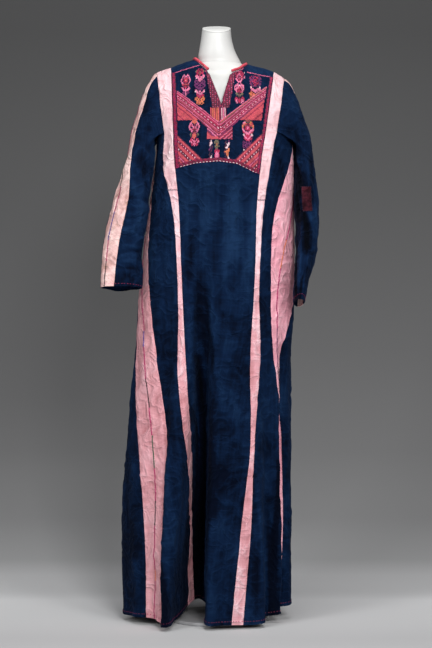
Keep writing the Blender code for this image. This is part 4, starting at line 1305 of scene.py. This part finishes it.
def charted(mm, up):
    """The colour of a charted motif at a place, if one is there."""
    for motif in MOTIFS:
        if motif.right <= mm < motif.left and motif.foot < up <= motif.head:
            line = motif.chart[int((motif.head - up) / (motif.head - motif.foot) * len(motif.chart))]
            return LETTERS.get(line[int((mm - motif.right) / (motif.left - motif.right) * len(line))])
    return None


def slit_band(column, row, from_slit):
    """Maroon ground with small crimson and pink crosslets, edged in crimson."""
    if from_slit < 3:
        return "crimson"
    across, along = (column + row) % 6, (row - column) % 6
    if across in (0, 1) and along in (0, 1):
        return "red"
    if across == 3 and along == 3:
        return "pink"
    return "plum" if across == 3 or along == 3 else "maroon"


def side_border(into, row):
    """A zigzag of crimson and red between two maroon lines."""
    if into in (0, BORDER - 1):
        return "maroon"
    return ("crimson", "red", "crimson", "purple", "red", "crimson")[(row + into) % 6]


def foot_border(column, row):
    """Blush dots on the very edge, then maroon teeth on crimson."""
    if row == 0:
        return "blush" if column % 4 < 2 else "crimson"
    if row == 1:
        return "maroon"
    return "maroon" if (column + row) % 6 < 3 else "crimson"


def stitch_colour(mm, up, column, row, from_side, from_head, from_slit):
    """The thread of a stitch: its place in mm, its count, and its distances in stitches."""
    odd = (column + row) % 2
    beside_slit = np.interp(up, *zip(*[(mark.up, mark.mm) for mark in SLIT_BAND_RIGHT]))
    beyond_slit = np.interp(up, *zip(*[(mark.up, mark.mm) for mark in SLIT_BAND_LEFT]))
    if up > SLIT_FOOT_UP and beside_slit < mm < beyond_slit:
        return slit_band(column, row, from_slit)
    if from_side < BORDER:
        return side_border(int(from_side), row)
    if row < 5:
        return foot_border(column, row)
    if from_head < 2.5:
        return "crimson" if odd else "pink"
    into_corner = line_at(CORNER_TOP, mm) - up
    if into_corner > 0:
        colour = CORNER_BANDS[int(into_corner * 0.30) % len(CORNER_BANDS)]
        return ("blush" if column % 3 == 0 else "maroon") if colour == "dots" else colour
    top, foot = line_at(CHEVRON_TOP, mm), line_at(CHEVRON_FOOT, mm)
    if foot < up <= top and from_side > BORDER + (1 if mm < 0 else 2):
        if abs(mm - MIDDLE_MM) < 1.1:
            return "maroon"
        bands = RIGHT_BANDS if mm < 0 else LEFT_BANDS
        colour = bands[int((top - up) / (top - foot) * len(bands))]
        return ("blush" if column % 4 < 2 else "crimson") if colour == "dots" else colour
    if up > top and up < SLIT_FOOT_UP and -28 < mm < 14:
        if mm < MIDDLE_MM:
            return ("orange", "crimson", "orange", "coral", "crimson")[column % 5]
        return "maroon" if mm < -2 else ("pink", "crimson", "blush", "crimson")[column % 4]
    if up <= foot and up > line_at(WING_FOOT, mm) and from_side > BORDER + (1 if mm < 0 else 3):
        return ("coral", "coral", "crimson", "coral", "coral", "coral")[int((foot - up) / 3.8) % 6]
    if up <= foot and -37 < mm < 29 and up > line_at(BIB_FOOT, mm):
        if mm < -8:
            bands = ("pink", "purple", "crimson", "coral")
            return bands[min(3, int((foot - up) / 4))] if up > 96 else "coral"
        return ("pink", "coral", "crimson", "crimson", "maroon")[int(up - 0.9 * mm) // 2 % 5]
    return charted(mm, up)


def chest_point(s, up):
    """A point and facing of the chest panel at a share across and a distance up, in metres."""
    column = np.interp(s, shares_across, np.arange(len(shares_across)))
    low = np.clip(np.floor(column).astype(int), 0, len(shares_across) - 2)
    part = (column - low)[..., None]
    ends = []
    for c in (low, low + 1):
        tall = chest_along[-1, c]
        row = np.clip(up / tall, 0, 1) * (CHEST_ROWS - 1)
        base = np.clip(np.floor(row).astype(int), 0, CHEST_ROWS - 2)
        rest = (row - base)[..., None]
        ends.append((chest_face[base, c] * (1 - rest) + chest_face[base + 1, c] * rest,
                     chest_normal[base, c] * (1 - rest) + chest_normal[base + 1, c] * rest, tall))
    point = ends[0][0] * (1 - part) + ends[1][0] * part
    facing = unit(ends[0][1] * (1 - part) + ends[1][1] * part)
    tall = ends[0][2] * (1 - part[..., 0]) + ends[1][2] * part[..., 0]
    return point, facing, tall


shares_across = (chest_across[0] - chest_across[0, 0]) / (chest_across[0, -1] - chest_across[0, 0])
slit_line = np.array([(row.x, row.z) for row in FRONT_EDGE[2:5]])


def mm_from_slit(place):
    """How far a place is from the slit's two edges, seen from the front."""
    near = np.full(len(place), 1e3)
    flat = place[:, [0, 2]]
    for a, b in zip(slit_line, slit_line[1:]):
        run = b - a
        share = np.clip(((flat - a) @ run) / (run @ run), 0, 1)
        near = np.minimum(near, np.linalg.norm(flat - a - share[:, None] * run, axis=1) * 1000)
    return near


columns, rows = (part.ravel() for part in np.meshgrid(np.arange(-68, 69), np.arange(0, 150)))
inside = np.ones(len(columns), bool)
corners = []
for right, top in ((0, 0), (1, 0), (1, 1), (0, 1)):
    mm = (columns + right) * STITCH_WIDE
    up = 0.5 + (rows + top) * STITCH_TALL
    right_edge = RIGHT_EDGE[0] + (RIGHT_EDGE[1] - RIGHT_EDGE[0]) * up / 250
    left_edge = LEFT_EDGE[0] + (LEFT_EDGE[1] - LEFT_EDGE[0]) * up / 250
    s = (mm - right_edge) / (left_edge - right_edge)
    point, facing, tall = chest_point(np.clip(s, 0, 1), up / 1000)
    inside &= (s > 0.004) & (s < 0.996) & (up / 1000 < tall - 0.0006)
    corners.append(point)
from_side = np.minimum((mm - right_edge) / STITCH_WIDE - 1, (left_edge - mm) / STITCH_WIDE)
from_head = (tall * 1000 - up) / STITCH_TALL
from_slit = mm_from_slit(corners[0])
middle = sum(corners) / 4
across_mm, up_mm = (middle[:, 0] - SLIT_FOOT) * 1000, (middle[:, 2] - CHEST_ZERO) * 1000
spots, silks = [], []
for spot in np.flatnonzero(inside):
    colour = stitch_colour(across_mm[spot], up_mm[spot], columns[spot], rows[spot], from_side[spot],
                           from_head[spot], from_slit[spot])
    if colour is not None:
        spots.append(spot)
        silks.append(colour)
silks = np.array(silks)
facing = facing[spots]
middle = middle[spots]
uneven = np.random.default_rng(5).uniform(0.86, 1.02, (len(spots), 1))
ends = [middle + (corner[spots] - middle) * uneven + 0.00015 * facing for corner in corners]
for word, chosen in (("right", columns[spots] < 0), ("left", columns[spots] >= 0)):
    for layer, start, end, lift, rise in (("under", ends[0], ends[2], 0.0, 0.00045),
                                          ("over", ends[1], ends[3], 0.0002, 0.00060)):
        raised = lift * facing[chosen]
        laid_stitches(f"chest_cross_stitch_{word}_{layer}", start[chosen] + raised,
                                         end[chosen] + raised, facing[chosen], silks[chosen],
                                         "cross_stitched_panel", 0.00062, rise)


# The neckline: a narrow coral band folded over the raw edge from one corner of the slit round
# the back to the other, and the slit's edges rolled and oversewn with maroon silk.

NECK_BAND = 0.007
BAND_ROUND = 10


def along_neck(cloth, first, last):
    xs = cloth.face[-1, :, 0]
    kept = np.flatnonzero((xs >= first - 3e-4) & (xs <= last + 3e-4))
    return cloth.grid[-1, kept], cloth.normal[-1, kept]


def smooth_line(values, count, passes=2):
    """The same line with evenly spaced points and its corners eased."""
    walked = walked_along(values[:, :3])
    at = np.linspace(0, walked[-1], count)
    line = np.stack([np.interp(at, walked, values[:, k]) for k in range(values.shape[1])], -1)
    for _ in range(passes):
        line[1:-1] = (line[:-2] + 2 * line[1:-1] + line[2:]) / 4
    return line


def rolled_edge(name, line, inward, up, half_wide, half_thick, finish, slot, wobble):
    """A rounded band of cloth that follows a line."""
    turn = np.arange(BAND_ROUND) * 2 * math.pi / BAND_ROUND
    uneven = 1 + wobble * dents(line * 1.0 + 5.0, 0.011)[:, None, None]
    ring = (np.cos(turn)[None, :, None] * inward[:, None, :] * half_wide
            + np.sin(turn)[None, :, None] * up[:, None, :] * half_thick) * uneven
    points = line[:, None, :] + ring
    count = len(line)
    spot = np.arange(count * BAND_ROUND).reshape(count, BAND_ROUND)
    beside = np.roll(spot, -1, axis=1)
    quads = np.stack([spot[:-1], spot[1:], beside[1:], beside[:-1]], -1).reshape(-1, 4).tolist()
    caps = [tuple(spot[0].tolist()), tuple(spot[-1][::-1].tolist())]
    return finished_piece(name, points.reshape(-1, 3), quads + caps, [finish], slot)


coral_cloth, shader = worn_cloth("coral_binding",
                                 ((0.34, 0.02, 0.04), (0.62, 0.075, 0.11), (0.78, 0.17, 0.20)),
                                 0.0006, 1.4, 30.0, 0.3, 0.12, 0.3, 0.6)
runs = [along_neck(front, SLIT_LEFT, NECK_LEFT), along_neck(back, NECK_RIGHT, NECK_LEFT),
        along_neck(front, NECK_RIGHT, SLIT_RIGHT)]
neck_line = smooth_line(np.concatenate([np.hstack(run) for run in runs]), 150)
line, up = neck_line[:, :3], unit(neck_line[:, 3:])
inward = unit(np.cross(up, unit(np.gradient(line, axis=0))))
centre = line + (SEAM + NECK_BAND / 2) * inward + 0.0018 * up
binding = rolled_edge("neck_binding_band", centre, inward, up, NECK_BAND / 2, 0.0042, coral_cloth,
                      "coral_binding", 0.12)
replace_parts(binding, "neck_binding")
whipped("neck_binding_stitches", line + 0.0010 * up, up, 0.0034, 0.0016, lambda z: "maroon", "coral_binding",
        seed=21, slant=0.5, half_wide=0.0004, rise=0.0012)

for word, first, last in (("right", SLIT_RIGHT, SLIT_FOOT), ("left", SLIT_FOOT, SLIT_LEFT)):
    points, facings = along_neck(front, first, last)
    edge = smooth_line(np.hstack([points, facings]), 70, 1)
    line, up = edge[:, :3], unit(edge[:, 3:])
    whipped(f"slit_{word}_oversewing", line + 0.0014 * up, up, 0.0014, 0.0026, lambda z: "maroon",
            "coral_binding", seed=22, slant=0.15, half_wide=0.0008, rise=0.0014)


# The sleeves: straight lengths of indigo cotton set into the armhole, each with a cream silk
# stripe of two lengths let in down the outside, narrowing to the cuff, which is turned and hemmed.

Arm = namedtuple("Arm", "z x y wide deep stripe half")
RIGHT_ARM = [Arm(*row) for row in (
    (1.245, -0.204, -0.034, 0.0365, 0.058, 12, 38), (1.135, -0.223, -0.062, 0.046, 0.048, 36, 40),
    (1.0, -0.248, -0.095, 0.0545, 0.036, 44, 36), (0.888, -0.251, -0.125, 0.055, 0.033, 38, 32),
)]
LEFT_ARM = [Arm(*row) for row in (
    (1.235, 0.2335, -0.018, 0.026, 0.064, -55, 38), (1.125, 0.2375, -0.05, 0.032, 0.058, -60, 38),
    (0.985, 0.235, -0.088, 0.028, 0.057, -60, 38), (0.905, 0.224, -0.112, 0.02, 0.06, -60, 36),
    (0.85, 0.216, -0.126, 0.013, 0.062, -60, 34),
)]
STRIPE_AT_ARMHOLE = (-4, 22)
ARMHOLE_GAP = 0.0008
CAP_LEAVE = (0.055, 0.030, -0.025)
CAP_ARRIVE = (0.070, 0.130)
CAP_ROWS = 20
ARM_STEP = 0.004
ARM_RUN = 0.048           # the arm's run at its head is taken over this height
ARM_GRID = 0.0055
ROUND = 192
EVEN_OUT = 14
TURN_LENGTH = 0.00088     # a degree's length round a sleeve
CUFF_ROWS = (0.0105, 0.0085, 0.0070, 0.0035, 0.0009, 0.0)

# turn is the place round the sleeve in degrees: 0 faces outwards, 90 forwards
SleeveCrease = namedtuple("SleeveCrease", "turn0 z0 turn1 z1 wide high")
RIGHT_CREASES = [SleeveCrease(*row) for row in (
    (60, 1.132, 150, 1.118, 0.005, -0.0042), (50, 1.108, 160, 1.1, 0.0045, 0.0036),
    (70, 1.07, 150, 1.082, 0.005, -0.004), (60, 1.044, 140, 1.028, 0.005, 0.0036),
    (75, 1.024, 150, 1.034, 0.0045, -0.0044), (80, 1.0, 150, 0.992, 0.0045, 0.0038),
    (70, 0.98, 145, 0.986, 0.0045, -0.0042), (80, 0.962, 155, 0.954, 0.0045, 0.0036),
    (75, 0.944, 150, 0.938, 0.0045, -0.004), (30, 1.15, 40, 0.95, 0.008, 0.0022),
    (95, 0.93, 130, 0.905, 0.006, -0.0034), (110, 1.24, 140, 1.14, 0.008, -0.004),
    (60, 1.25, 80, 1.14, 0.009, 0.0026), (200, 1.13, 290, 1.115, 0.006, -0.004),
    (210, 1.07, 290, 1.05, 0.006, 0.0036), (200, 1.01, 280, 1.0, 0.006, -0.0036),
)]
LEFT_CREASES = [SleeveCrease(*row) for row in (
    (168, 1.235, 112, 1.158, 0.008, -0.01), (140, 1.17, 142, 1.074, 0.0085, -0.011),
    (118, 1.076, 76, 1.064, 0.004, 0.003), (104, 1.086, 84, 0.996, 0.01, -0.0115),
    (128, 1.08, 124, 0.88, 0.0075, 0.004), (152, 1.02, 150, 0.862, 0.007, -0.0085),
    (40, 1.16, 40, 1.01, 0.007, 0.0034), (60, 1.01, 20, 1.022, 0.0042, -0.0036),
    (72, 0.992, 24, 1.0, 0.0042, 0.0034), (70, 0.974, 30, 0.982, 0.0042, -0.0036),
    (80, 0.95, 40, 0.94, 0.005, 0.003), (60, 1.25, 45, 1.15, 0.009, -0.0034),
    (90, 1.24, 70, 1.18, 0.008, 0.003), (200, 1.12, 260, 1.1, 0.006, -0.0036),
    (210, 1.02, 250, 1.0, 0.006, 0.0034),
)]


def armhole(side, front_strip, back_strip):
    """The sewn edge: down the front from the ridge, under the arm and up the back."""
    outer_column = 0 if side < 0 else -1
    from_underarm = slice(-1 - ARCH_COUNT, None)
    front_points = front_strip.face[from_underarm, outer_column][::-1]
    front_face = front_strip.normal[from_underarm, outer_column][::-1]
    back_points = back_strip.face[from_underarm, -1 - outer_column]
    back_face = back_strip.normal[from_underarm, -1 - outer_column]
    bearings = [math.degrees(math.atan2(point[0], -point[1])) for point in (front_points[-1], back_points[0])]
    under = skirt(np.linspace(*bearings, 81), UNDERARM)
    out = np.array([side * ARMHOLE_GAP, 0, 0])
    up = np.array([0, 0, 2 * ARMHOLE_GAP])
    down = np.tile([0.0, 0.0, -1.0], (len(under), 1))
    return ((front_points + out, front_face), (under + up, down), (back_points + out, back_face))


def spread_evenly(points, values, count):
    walked = walked_along(points)
    wanted = np.linspace(0, walked[-1], count)
    return np.stack([np.interp(wanted, walked, values[:, k]) for k in range(3)], -1)


def arm_column(arm, key, z):
    rising = arm[::-1]
    return through(column_of(rising, "z"), column_of(rising, key), z)


def arm_ring(side, arm, z):
    """An oval ring of the sleeve, square to the arm, starting at its outer side."""
    turn = np.radians(np.arange(ROUND) * 360 / ROUND)
    above, middle, below = (np.array([arm_column(arm, "x", h), arm_column(arm, "y", h), h])
                            for h in (z + ARM_STEP, z, z - ARM_STEP))
    run = unit(below - above)
    outward = unit(np.array([side, 0, 0]) - run * run[0] * side)
    forward = unit(np.array([0, -1, 0]) + run * run[1])
    return (middle + np.outer(np.cos(turn) * arm_column(arm, "wide", z), outward)
            + np.outer(np.sin(turn) * arm_column(arm, "deep", z), forward))


def sleeve_rings(side, arm, edges, heights):
    """Rings from the armhole to the cuff with their facings, and the cap rings' shares."""
    third = ROUND // 3
    loop, face = (np.concatenate([spread_evenly(edge[0], edge[part], third + 1)[:-1] for edge in edges])
                  for part in (0, 1))
    rings = [arm_ring(side, arm, z) for z in heights]
    down = unit(arm_ring(side, arm, heights[0] - ARM_RUN).mean(0) - rings[0].mean(0))
    high = (np.cos(np.radians(np.arange(ROUND) * 360 / ROUND))[:, None] + 1) / 2
    leave = (CAP_LEAVE[0] + CAP_LEAVE[1] * high) * unit(loop * [1, 1, 0]) + np.array([0, 0, CAP_LEAVE[2]])
    arrive = down * (CAP_ARRIVE[0] + CAP_ARRIVE[1] * high)
    shares = np.arange(CAP_ROWS) / CAP_ROWS
    cap = []
    for share in shares:
        rise = eased(share)
        bend = share * (1 - share) ** 2 * leave - share * share * (1 - share) * arrive
        cap.append(loop * (1 - rise) + rings[0] * rise + bend)
    rings = np.array(cap + rings)
    around = np.roll(rings, -1, axis=1) - np.roll(rings, 1, axis=1)
    normals = unit(np.cross(around, np.gradient(rings, axis=0))) * side
    normals = unit(sum(np.roll(normals, turn, axis=1) for turn in range(-EVEN_OUT, EVEN_OUT + 1)))
    normals[0] = unit(face)
    return rings, normals, shares


def round_the_ring(ring, degrees):
    """Points at these turns on one of the rings."""
    closed = np.concatenate([ring, ring, ring[:1]])
    at = np.asarray(degrees) % 360 * ROUND / 360
    return np.stack([np.interp(at, np.arange(len(closed)), closed[:, k]) for k in range(3)], -1)


def unrolled(row):
    """A sleeve's crease with its turns as lengths of cloth."""
    return Crease("sleeve", row.turn0 * TURN_LENGTH, row.z0, row.turn1 * TURN_LENGTH, row.z1,
                  row.wide, row.high)


def sleeve_creases(turns, points, walked, creases):
    """How far the sleeve's cloth stands in or out."""
    high = np.zeros(points.shape[:-1])
    for row in creases:
        high += one_crease(turns % 360 * TURN_LENGTH, points[..., 2], unrolled(row))
    high += 0.0034 * dents(points + 2.3, 0.050, (1, 1, 1.6))
    high += 0.0022 * dents(points + 9.2, 0.022, (1, 1, 1.2))
    high += 0.0008 * dents(points + 4.9, 0.010) + wrinkles(points, 0.036)
    return np.clip(high, -0.013, 0.0040) * np.clip(walked / 0.030, 0, 1) ** 1.5


SLEEVE_PAINTED_SHADE = 0.0015    # painted shade: the sleeves are painted darker

# Painted shade on the left sleeve: its folds and shaded inner side are painted near black.
LEFT_SLEEVE_SHADE = [SleeveCrease(*row) for row in (
    (150, 1.212, 128, 1.15, 0.025, -0.024), (128, 1.165, 116, 1.138, 0.017, -0.024),
    (140, 1.16, 140, 1.07, 0.023, -0.024), (110, 1.09, 88, 0.995, 0.017, -0.024),
    (160, 1.04, 154, 0.852, 0.014, -0.024), (100, 0.905, 110, 0.852, 0.012, -0.016),
)]


def sleeve(side, word, arm, creases, front_strip, back_strip):
    rows = np.arange(arm[0].z, arm[-1].z + CUFF_ROWS[0] + 0.003, -ARM_GRID)
    heights = np.concatenate([rows, [arm[-1].z + up for up in CUFF_ROWS]])
    rings, normals, shares = sleeve_rings(side, arm, armhole(side, front_strip, back_strip), heights)
    middle = np.concatenate([STRIPE_AT_ARMHOLE[0] + (arm[0].stripe - STRIPE_AT_ARMHOLE[0]) * shares,
                             arm_column(arm, "stripe", heights)])
    half = np.concatenate([STRIPE_AT_ARMHOLE[1] + (arm[0].half - STRIPE_AT_ARMHOLE[1]) * shares,
                           arm_column(arm, "half", heights)])
    under = np.full(len(rings), 180.0)
    made = {}
    for part, start, finish, columns, cloth, slot in (
            ("stripe_front", middle, middle + half, 9, cream, "faded_cream_pink"),
            ("stripe_back", middle - half, middle, 9, cream, "faded_cream_pink"),
            ("front", middle + half, under, 30, indigo, "indigo_cotton"),
            ("back", under, middle - half + 360, 30, indigo, "indigo_cotton")):
        places = np.concatenate([[0, 0.012, 0.045], np.linspace(0.08, 0.92, columns), [0.955, 0.988, 1]])
        outer, away, turns, across = [], [], [], []
        for ring, normal, first, last in zip(rings, normals, start, finish):
            girth = np.linalg.norm(ring - np.roll(ring, 1, axis=0), axis=1).sum()
            trim = SEAM / girth * 360
            turn = first + trim + places * (last - first - 2 * trim)
            outer.append(round_the_ring(ring, turn))
            away.append(unit(round_the_ring(normal, turn)))
            turns.append(turn)
            across.append(turn * girth / 360)
        outer, away, turns, across = (np.array(part) for part in (outer, away, turns, across))
        walked = walk_up(outer)
        rise = sleeve_creases(turns, outer, walked, creases)
        wide = np.abs(across[:, -1:] - across[:, :1])
        from_seam = np.minimum(places, 1 - places) * wide
        roll = np.clip(1 - from_seam / EDGE_REACH, 0, 1) ** 2 * np.clip(walked / 0.006, 0, 1)
        from_cuff = walked[-1] - walked
        fold = 0.0006 * np.clip((0.0095 - from_cuff) / 0.0015, 0, 1)
        face = outer + (rise + fold - EDGE_ROLL * roll)[..., None] * away
        if side < 0:
            face, away, turns, across, walked, rise = (
                part_grid[::-1] for part_grid in (face, away, turns, across, walked, rise))
        # Painted shade in the left sleeve's folds and on its shaded inner side.
        painted_folds = 0.0
        for row in LEFT_SLEEVE_SHADE if side > 0 else ():
            shade = fold_shade(turns % 360 * TURN_LENGTH, face[..., 2], unrolled(row))
            painted_folds = np.minimum(painted_folds, shade)
        name = f"sleeve_{word}_{part}"
        # Painted shade: the indigo sleeves are painted darker.
        sleeve_shade = SLEEVE_PAINTED_SHADE if cloth is indigo else 0.0
        piece = cloth_piece(name + "_cloth", face, away_from_body(face), across, walked, rise + painted_folds - sleeve_shade,
                            cloth, slot)
        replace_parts(piece, name)
        made[part] = Cloth(piece, outer, face, away_from_body(face), across, turns)
    return made


# The cream stripe: its dark end stands for deeper dye and for painted shade in hollows.
cream, shader = worn_cloth("cream_silk_stripe", ((0.50, 0.26, 0.24), (0.80, 0.52, 0.50), (0.92, 0.70, 0.66)),
                           0.00060, 1.5, 14.0, 0.36, 0.15, 0.34, 0.65, ((0.30, 0.16, 0.10), 48.0, 0.56, 0.6))
sleeves = {
    "right": sleeve(-1, "right", RIGHT_ARM, RIGHT_CREASES,
                    hung["strip_front_right_upper"], hung["strip_back_right"]),
    "left": sleeve(1, "left", LEFT_ARM, LEFT_CREASES,
                   hung["strip_front_left_upper"], hung["strip_back_left"]),
}
SleeveCut = namedtuple("SleeveCut", "word part wide long area")


# Sewing on the sleeves: silk whipped down the middle of each stripe, a running stitch round
# the cuffs, and the running stitches that hold the skirt's turned hem.

RIGHT_STRIPE_THREADS = [SeamThread(*row) for row in (
    (0.957, "black"), (1.015, "magenta"), (1.09, "blue"), (1.158, "magenta"), (1.245, "green"),
    (2.0, "magenta"),
)]
LEFT_STRIPE_THREADS = [SeamThread(*row) for row in (
    (0.93, "magenta"), (1.04, "green"), (1.2, "magenta"), (2.0, "purple"),
)]
RUNNING = 0.0075          # from one running stitch to the next
HEM_STITCH = 0.0088       # the hem's stitches lie this far above its edge
CUFF_STITCH = 0.0078      # and the cuff's this far


def running_stitches(name, points, facings, colour_at, slot, seed=1, length=0.5, **size):
    """A line of running stitches: thread up, along the cloth and down again."""
    place, up, ahead = evenly(points, facings, RUNNING, 0.12, seed)
    uneven = np.random.default_rng(seed).uniform(0.8, 1.15, len(place))[:, None]
    reach = ahead * RUNNING * length / 2 * uneven
    colours = [colour_at(z) for z in place[:, 2]]
    return laid_stitches(name, place - reach, place + reach, up, colours, slot, **size)


for word, rows in (("right", RIGHT_STRIPE_THREADS), ("left", LEFT_STRIPE_THREADS)):
    half = sleeves[word]["stripe_front"]
    whipped(f"sleeve_{word}_stripe_silk", half.face[:, 0], half.normal[:, 0], SEAM_SILK, SEAM_SILK,
            colour_by_height(rows), "coral_binding", seed=31, half_wide=0.00120, rise=0.0017)
    for part, cloth in sleeves[word].items():
        cuff = (lambda grid: grid[::-1]) if word == "right" else (lambda grid: grid)
        walked = walk_up(cuff(cloth.face))
        row = int(np.argmin(np.abs((walked[-1] - walked)[:, 8] - CUFF_STITCH)))
        hue = "pink" if "stripe" in part else "crimson"
        running_stitches(f"cuff_{word}_{part}_stitches", cuff(cloth.face)[row], cuff(cloth.normal)[row],
                         lambda z: hue, "coral_binding", seed=33, half_wide=0.00075, rise=0.0010)

for name, cloth in list(hung.items()):
    if name.endswith("_upper"):
        continue
    row = int(np.argmin(np.abs(cloth.along[:, cloth.along.shape[1] // 2] - HEM_STITCH)))
    silk = name.startswith(("strip", "gore"))
    running_stitches(f"{name}_hem_stitches", cloth.face[row], cloth.normal[row],
                     lambda z: "magenta" if silk else "maroon", "coral_binding", seed=41,
                     length=0.70, half_wide=0.00085, rise=0.0011)


# The mend: a square of dark red cotton sewn over the wearer's left sleeve near the elbow,
# its edges turned under and caught down with small stitches, folded once across.

PATCH_SHARES = (4 / 9, 6 / 9)
PATCH_TOP = 1.156
PATCH_FOOT = 1.090
PATCH_LIFT = 0.0012
PATCH_FOLD = 1.126
PATCH_COUNT = (17, 28)    # its grid, across and up

mended = sleeves["left"]["front"]
patch_columns = np.linspace(*[share * (mended.face.shape[1] - 1) for share in PATCH_SHARES], PATCH_COUNT[0])
patch_points, patch_facings = [], []
for z in np.linspace(PATCH_FOOT, PATCH_TOP, PATCH_COUNT[1]):
    line, facings = [], []
    for place in patch_columns:
        low = int(place)
        part = place - low
        track = mended.face[:, low] * (1 - part) + mended.face[:, low + 1] * part
        facing = mended.normal[:, low] * (1 - part) + mended.normal[:, low + 1] * part
        falling = track[::-1]
        line.append([np.interp(z, falling[:, 2], falling[:, k]) for k in range(3)])
        facings.append([np.interp(z, falling[:, 2], facing[::-1][:, k]) for k in range(3)])
    patch_points.append(line)
    patch_facings.append(facings)
patch_points, patch_facings = np.array(patch_points)[:, ::-1], unit(np.array(patch_facings))[:, ::-1]
tall = walk_up(patch_points)
wide = walk_up(patch_points.swapaxes(0, 1)).swapaxes(0, 1)
near_edge = np.minimum.reduce([tall, tall[-1] - tall, wide, wide[:, -1:] - wide])
fold_line = 0.0011 * np.exp(-((patch_points[..., 2] - PATCH_FOLD) / 0.0028) ** 2)
lift = (PATCH_LIFT + 0.0007 * np.clip(near_edge / 0.003, 0, 1) + fold_line
        + 0.0004 * dents(patch_points, 0.008))
patch_face = patch_points + lift[..., None] * patch_facings
maroon_cotton, shader = worn_cloth("maroon_patch_cotton", ((0.007, 0.002, 0.004), (0.022, 0.005, 0.009),
                                   (0.075, 0.014, 0.023)), 0.0009, 1.4, 30.0, 0.4, 0.12, 0.6, 0.8)
set_on(shader, Specular_IOR_Level=0.04)
patch = cloth_piece("sleeve_left_patch_cloth", patch_face, away_from_body(patch_face), wide, tall,
                    lift - PATCH_LIFT, maroon_cotton, "maroon_patch", thick=0.0007)
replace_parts(patch, "sleeve_left_patch")
outline, outline_up = (np.concatenate([grid[0, :-1], grid[:-1, -1], grid[-1, :0:-1], grid[:0:-1, 0]])
                       for grid in (patch_face, patch_facings))
whipped("sleeve_left_patch_stitches", outline, outline_up, 0.0045, 0.0014, lambda z: "navy", "indigo_cotton",
        seed=51, half_wide=0.0004, rise=0.0006)


# The studio: floor and backdrop in one sweep of grey paper, painted with light and shade, pale on the floor
# and darkening up the backdrop, and soft lamps to either side.

SWEEP_START = 0.42
SWEEP_BEND = 1.30
SWEEP_TOP = 3.4
FLOOR_NEAR = -5.2
HALF_STUDIO = 4.5
floor_points, floor_faces = [], []
profile = [(FLOOR_NEAR, 0.0), (SWEEP_START, 0.0)]
for angle in np.linspace(0, math.pi / 2, 25)[1:]:
    profile.append((SWEEP_START + SWEEP_BEND * math.sin(angle), SWEEP_BEND * (1 - math.cos(angle))))
profile.append((SWEEP_START + SWEEP_BEND, SWEEP_TOP))
for y, z in profile:
    floor_points += [(-HALF_STUDIO, y, z - 0.0005), (HALF_STUDIO, y, z - 0.0005)]
for i in range(len(profile) - 1):
    floor_faces.append((2 * i, 2 * i + 1, 2 * i + 3, 2 * i + 2))
mesh = bpy.data.meshes.new("studio_sweep")
mesh.from_pydata(floor_points, [], floor_faces)
mesh.shade_smooth()
sweep = bpy.data.objects.new("studio_sweep", mesh)
bpy.context.scene.collection.objects.link(sweep)

paper, shader, node, link = new_finish("studio_paper")
place = node("ShaderNodeTexCoord").outputs["Object"]
fibre = node("ShaderNodeTexNoise", Vector=place, Scale=40.0, Detail=4.0)
apart = node("ShaderNodeSeparateXYZ", Vector=place)
run = node("ShaderNodeMath", {"operation": "ADD"})
link(apart.outputs["Y"], run.inputs[0])
link(apart.outputs["Z"], run.inputs[1])
shade = node("ShaderNodeMapRange", Value=run.outputs[0], From_Min=-0.5, From_Max=3.7)
# Painted light and shade on the paper: brightest on the floor under the dress, darker towards the camera, and
# darkening up the backdrop.
PAPER_PAINTED_LIGHT = ((0.048, 0.56), (0.190, 0.80), (0.226, 0.68), (0.278, 0.56), (0.316, 0.38), (0.400, 0.255),
                (0.513, 0.187), (0.660, 0.143), (0.826, 0.110), (0.976, 0.078))
grey = ramp_of(node, shade.outputs["Result"],
               *((at, (value, value, value * 1.01)) for at, value in PAPER_PAINTED_LIGHT))
link(grey, shader.inputs["Base Color"])
embossed(shader, node, link, fibre.outputs["Fac"], 0.05, 0.0002)
set_on(shader, Roughness=0.9, Specular_IOR_Level=0.1)
mesh.materials.append(paper)

Lamp = namedtuple("Lamp", "name x y z wide tall power")
LAMPS = (
    Lamp("softbox_right", -2.6, -3.0, 2.1, 0.9, 1.7, 50),
    Lamp("softbox_left", 2.3, -3.6, 2.1, 0.9, 1.7, 42),
    Lamp("overhead", 0.0, -0.9, 3.2, 1.6, 1.2, 34),
    Lamp("front_key", 0.8, -4.5, 2.3, 1.0, 0.9, 112),
)
LAMP_AIM = 0.85           # the lamps face this height on the axis
for row in LAMPS:
    lamp = bpy.data.lights.new(row.name, "AREA")
    lamp.shape = "RECTANGLE"
    lamp.size = row.wide
    lamp.size_y = row.tall
    lamp.energy = row.power
    holder = bpy.data.objects.new(row.name, lamp)
    holder.location = (row.x, row.y, row.z)
    away = Vector((row.x, row.y, row.z - LAMP_AIM))
    holder.rotation_euler = away.to_track_quat("Z", "Y").to_euler()
    bpy.context.scene.collection.objects.link(holder)

air = bpy.data.worlds.new("studio_air")
air.use_nodes = True
air.node_tree.nodes["Background"].inputs["Color"].default_value = (0.75, 0.77, 0.80, 1)
air.node_tree.nodes["Background"].inputs["Strength"].default_value = 0.16
bpy.context.scene.world = air
bpy.context.scene.view_settings.view_transform = "Standard"

# The camera stands 4.6 m in front of the dress, level, at about half the dress's height.
STAND_OFF = 4.6
CAMERA_X = -0.0027
CAMERA_Z = 0.793
HALF_FRAME = 0.875        # half the frame's longer side at the dress's middle
HALF_SENSOR = 18
lens = bpy.data.cameras.new("camera")
lens.sensor_width = 2 * HALF_SENSOR
lens.lens = HALF_SENSOR / (HALF_FRAME / STAND_OFF)
camera = bpy.data.objects.new("camera", lens)
camera.location = (CAMERA_X, -STAND_OFF, CAMERA_Z)
camera.rotation_euler = (math.pi / 2, 0, 0)
bpy.context.scene.collection.objects.link(camera)
bpy.context.scene.camera = camera
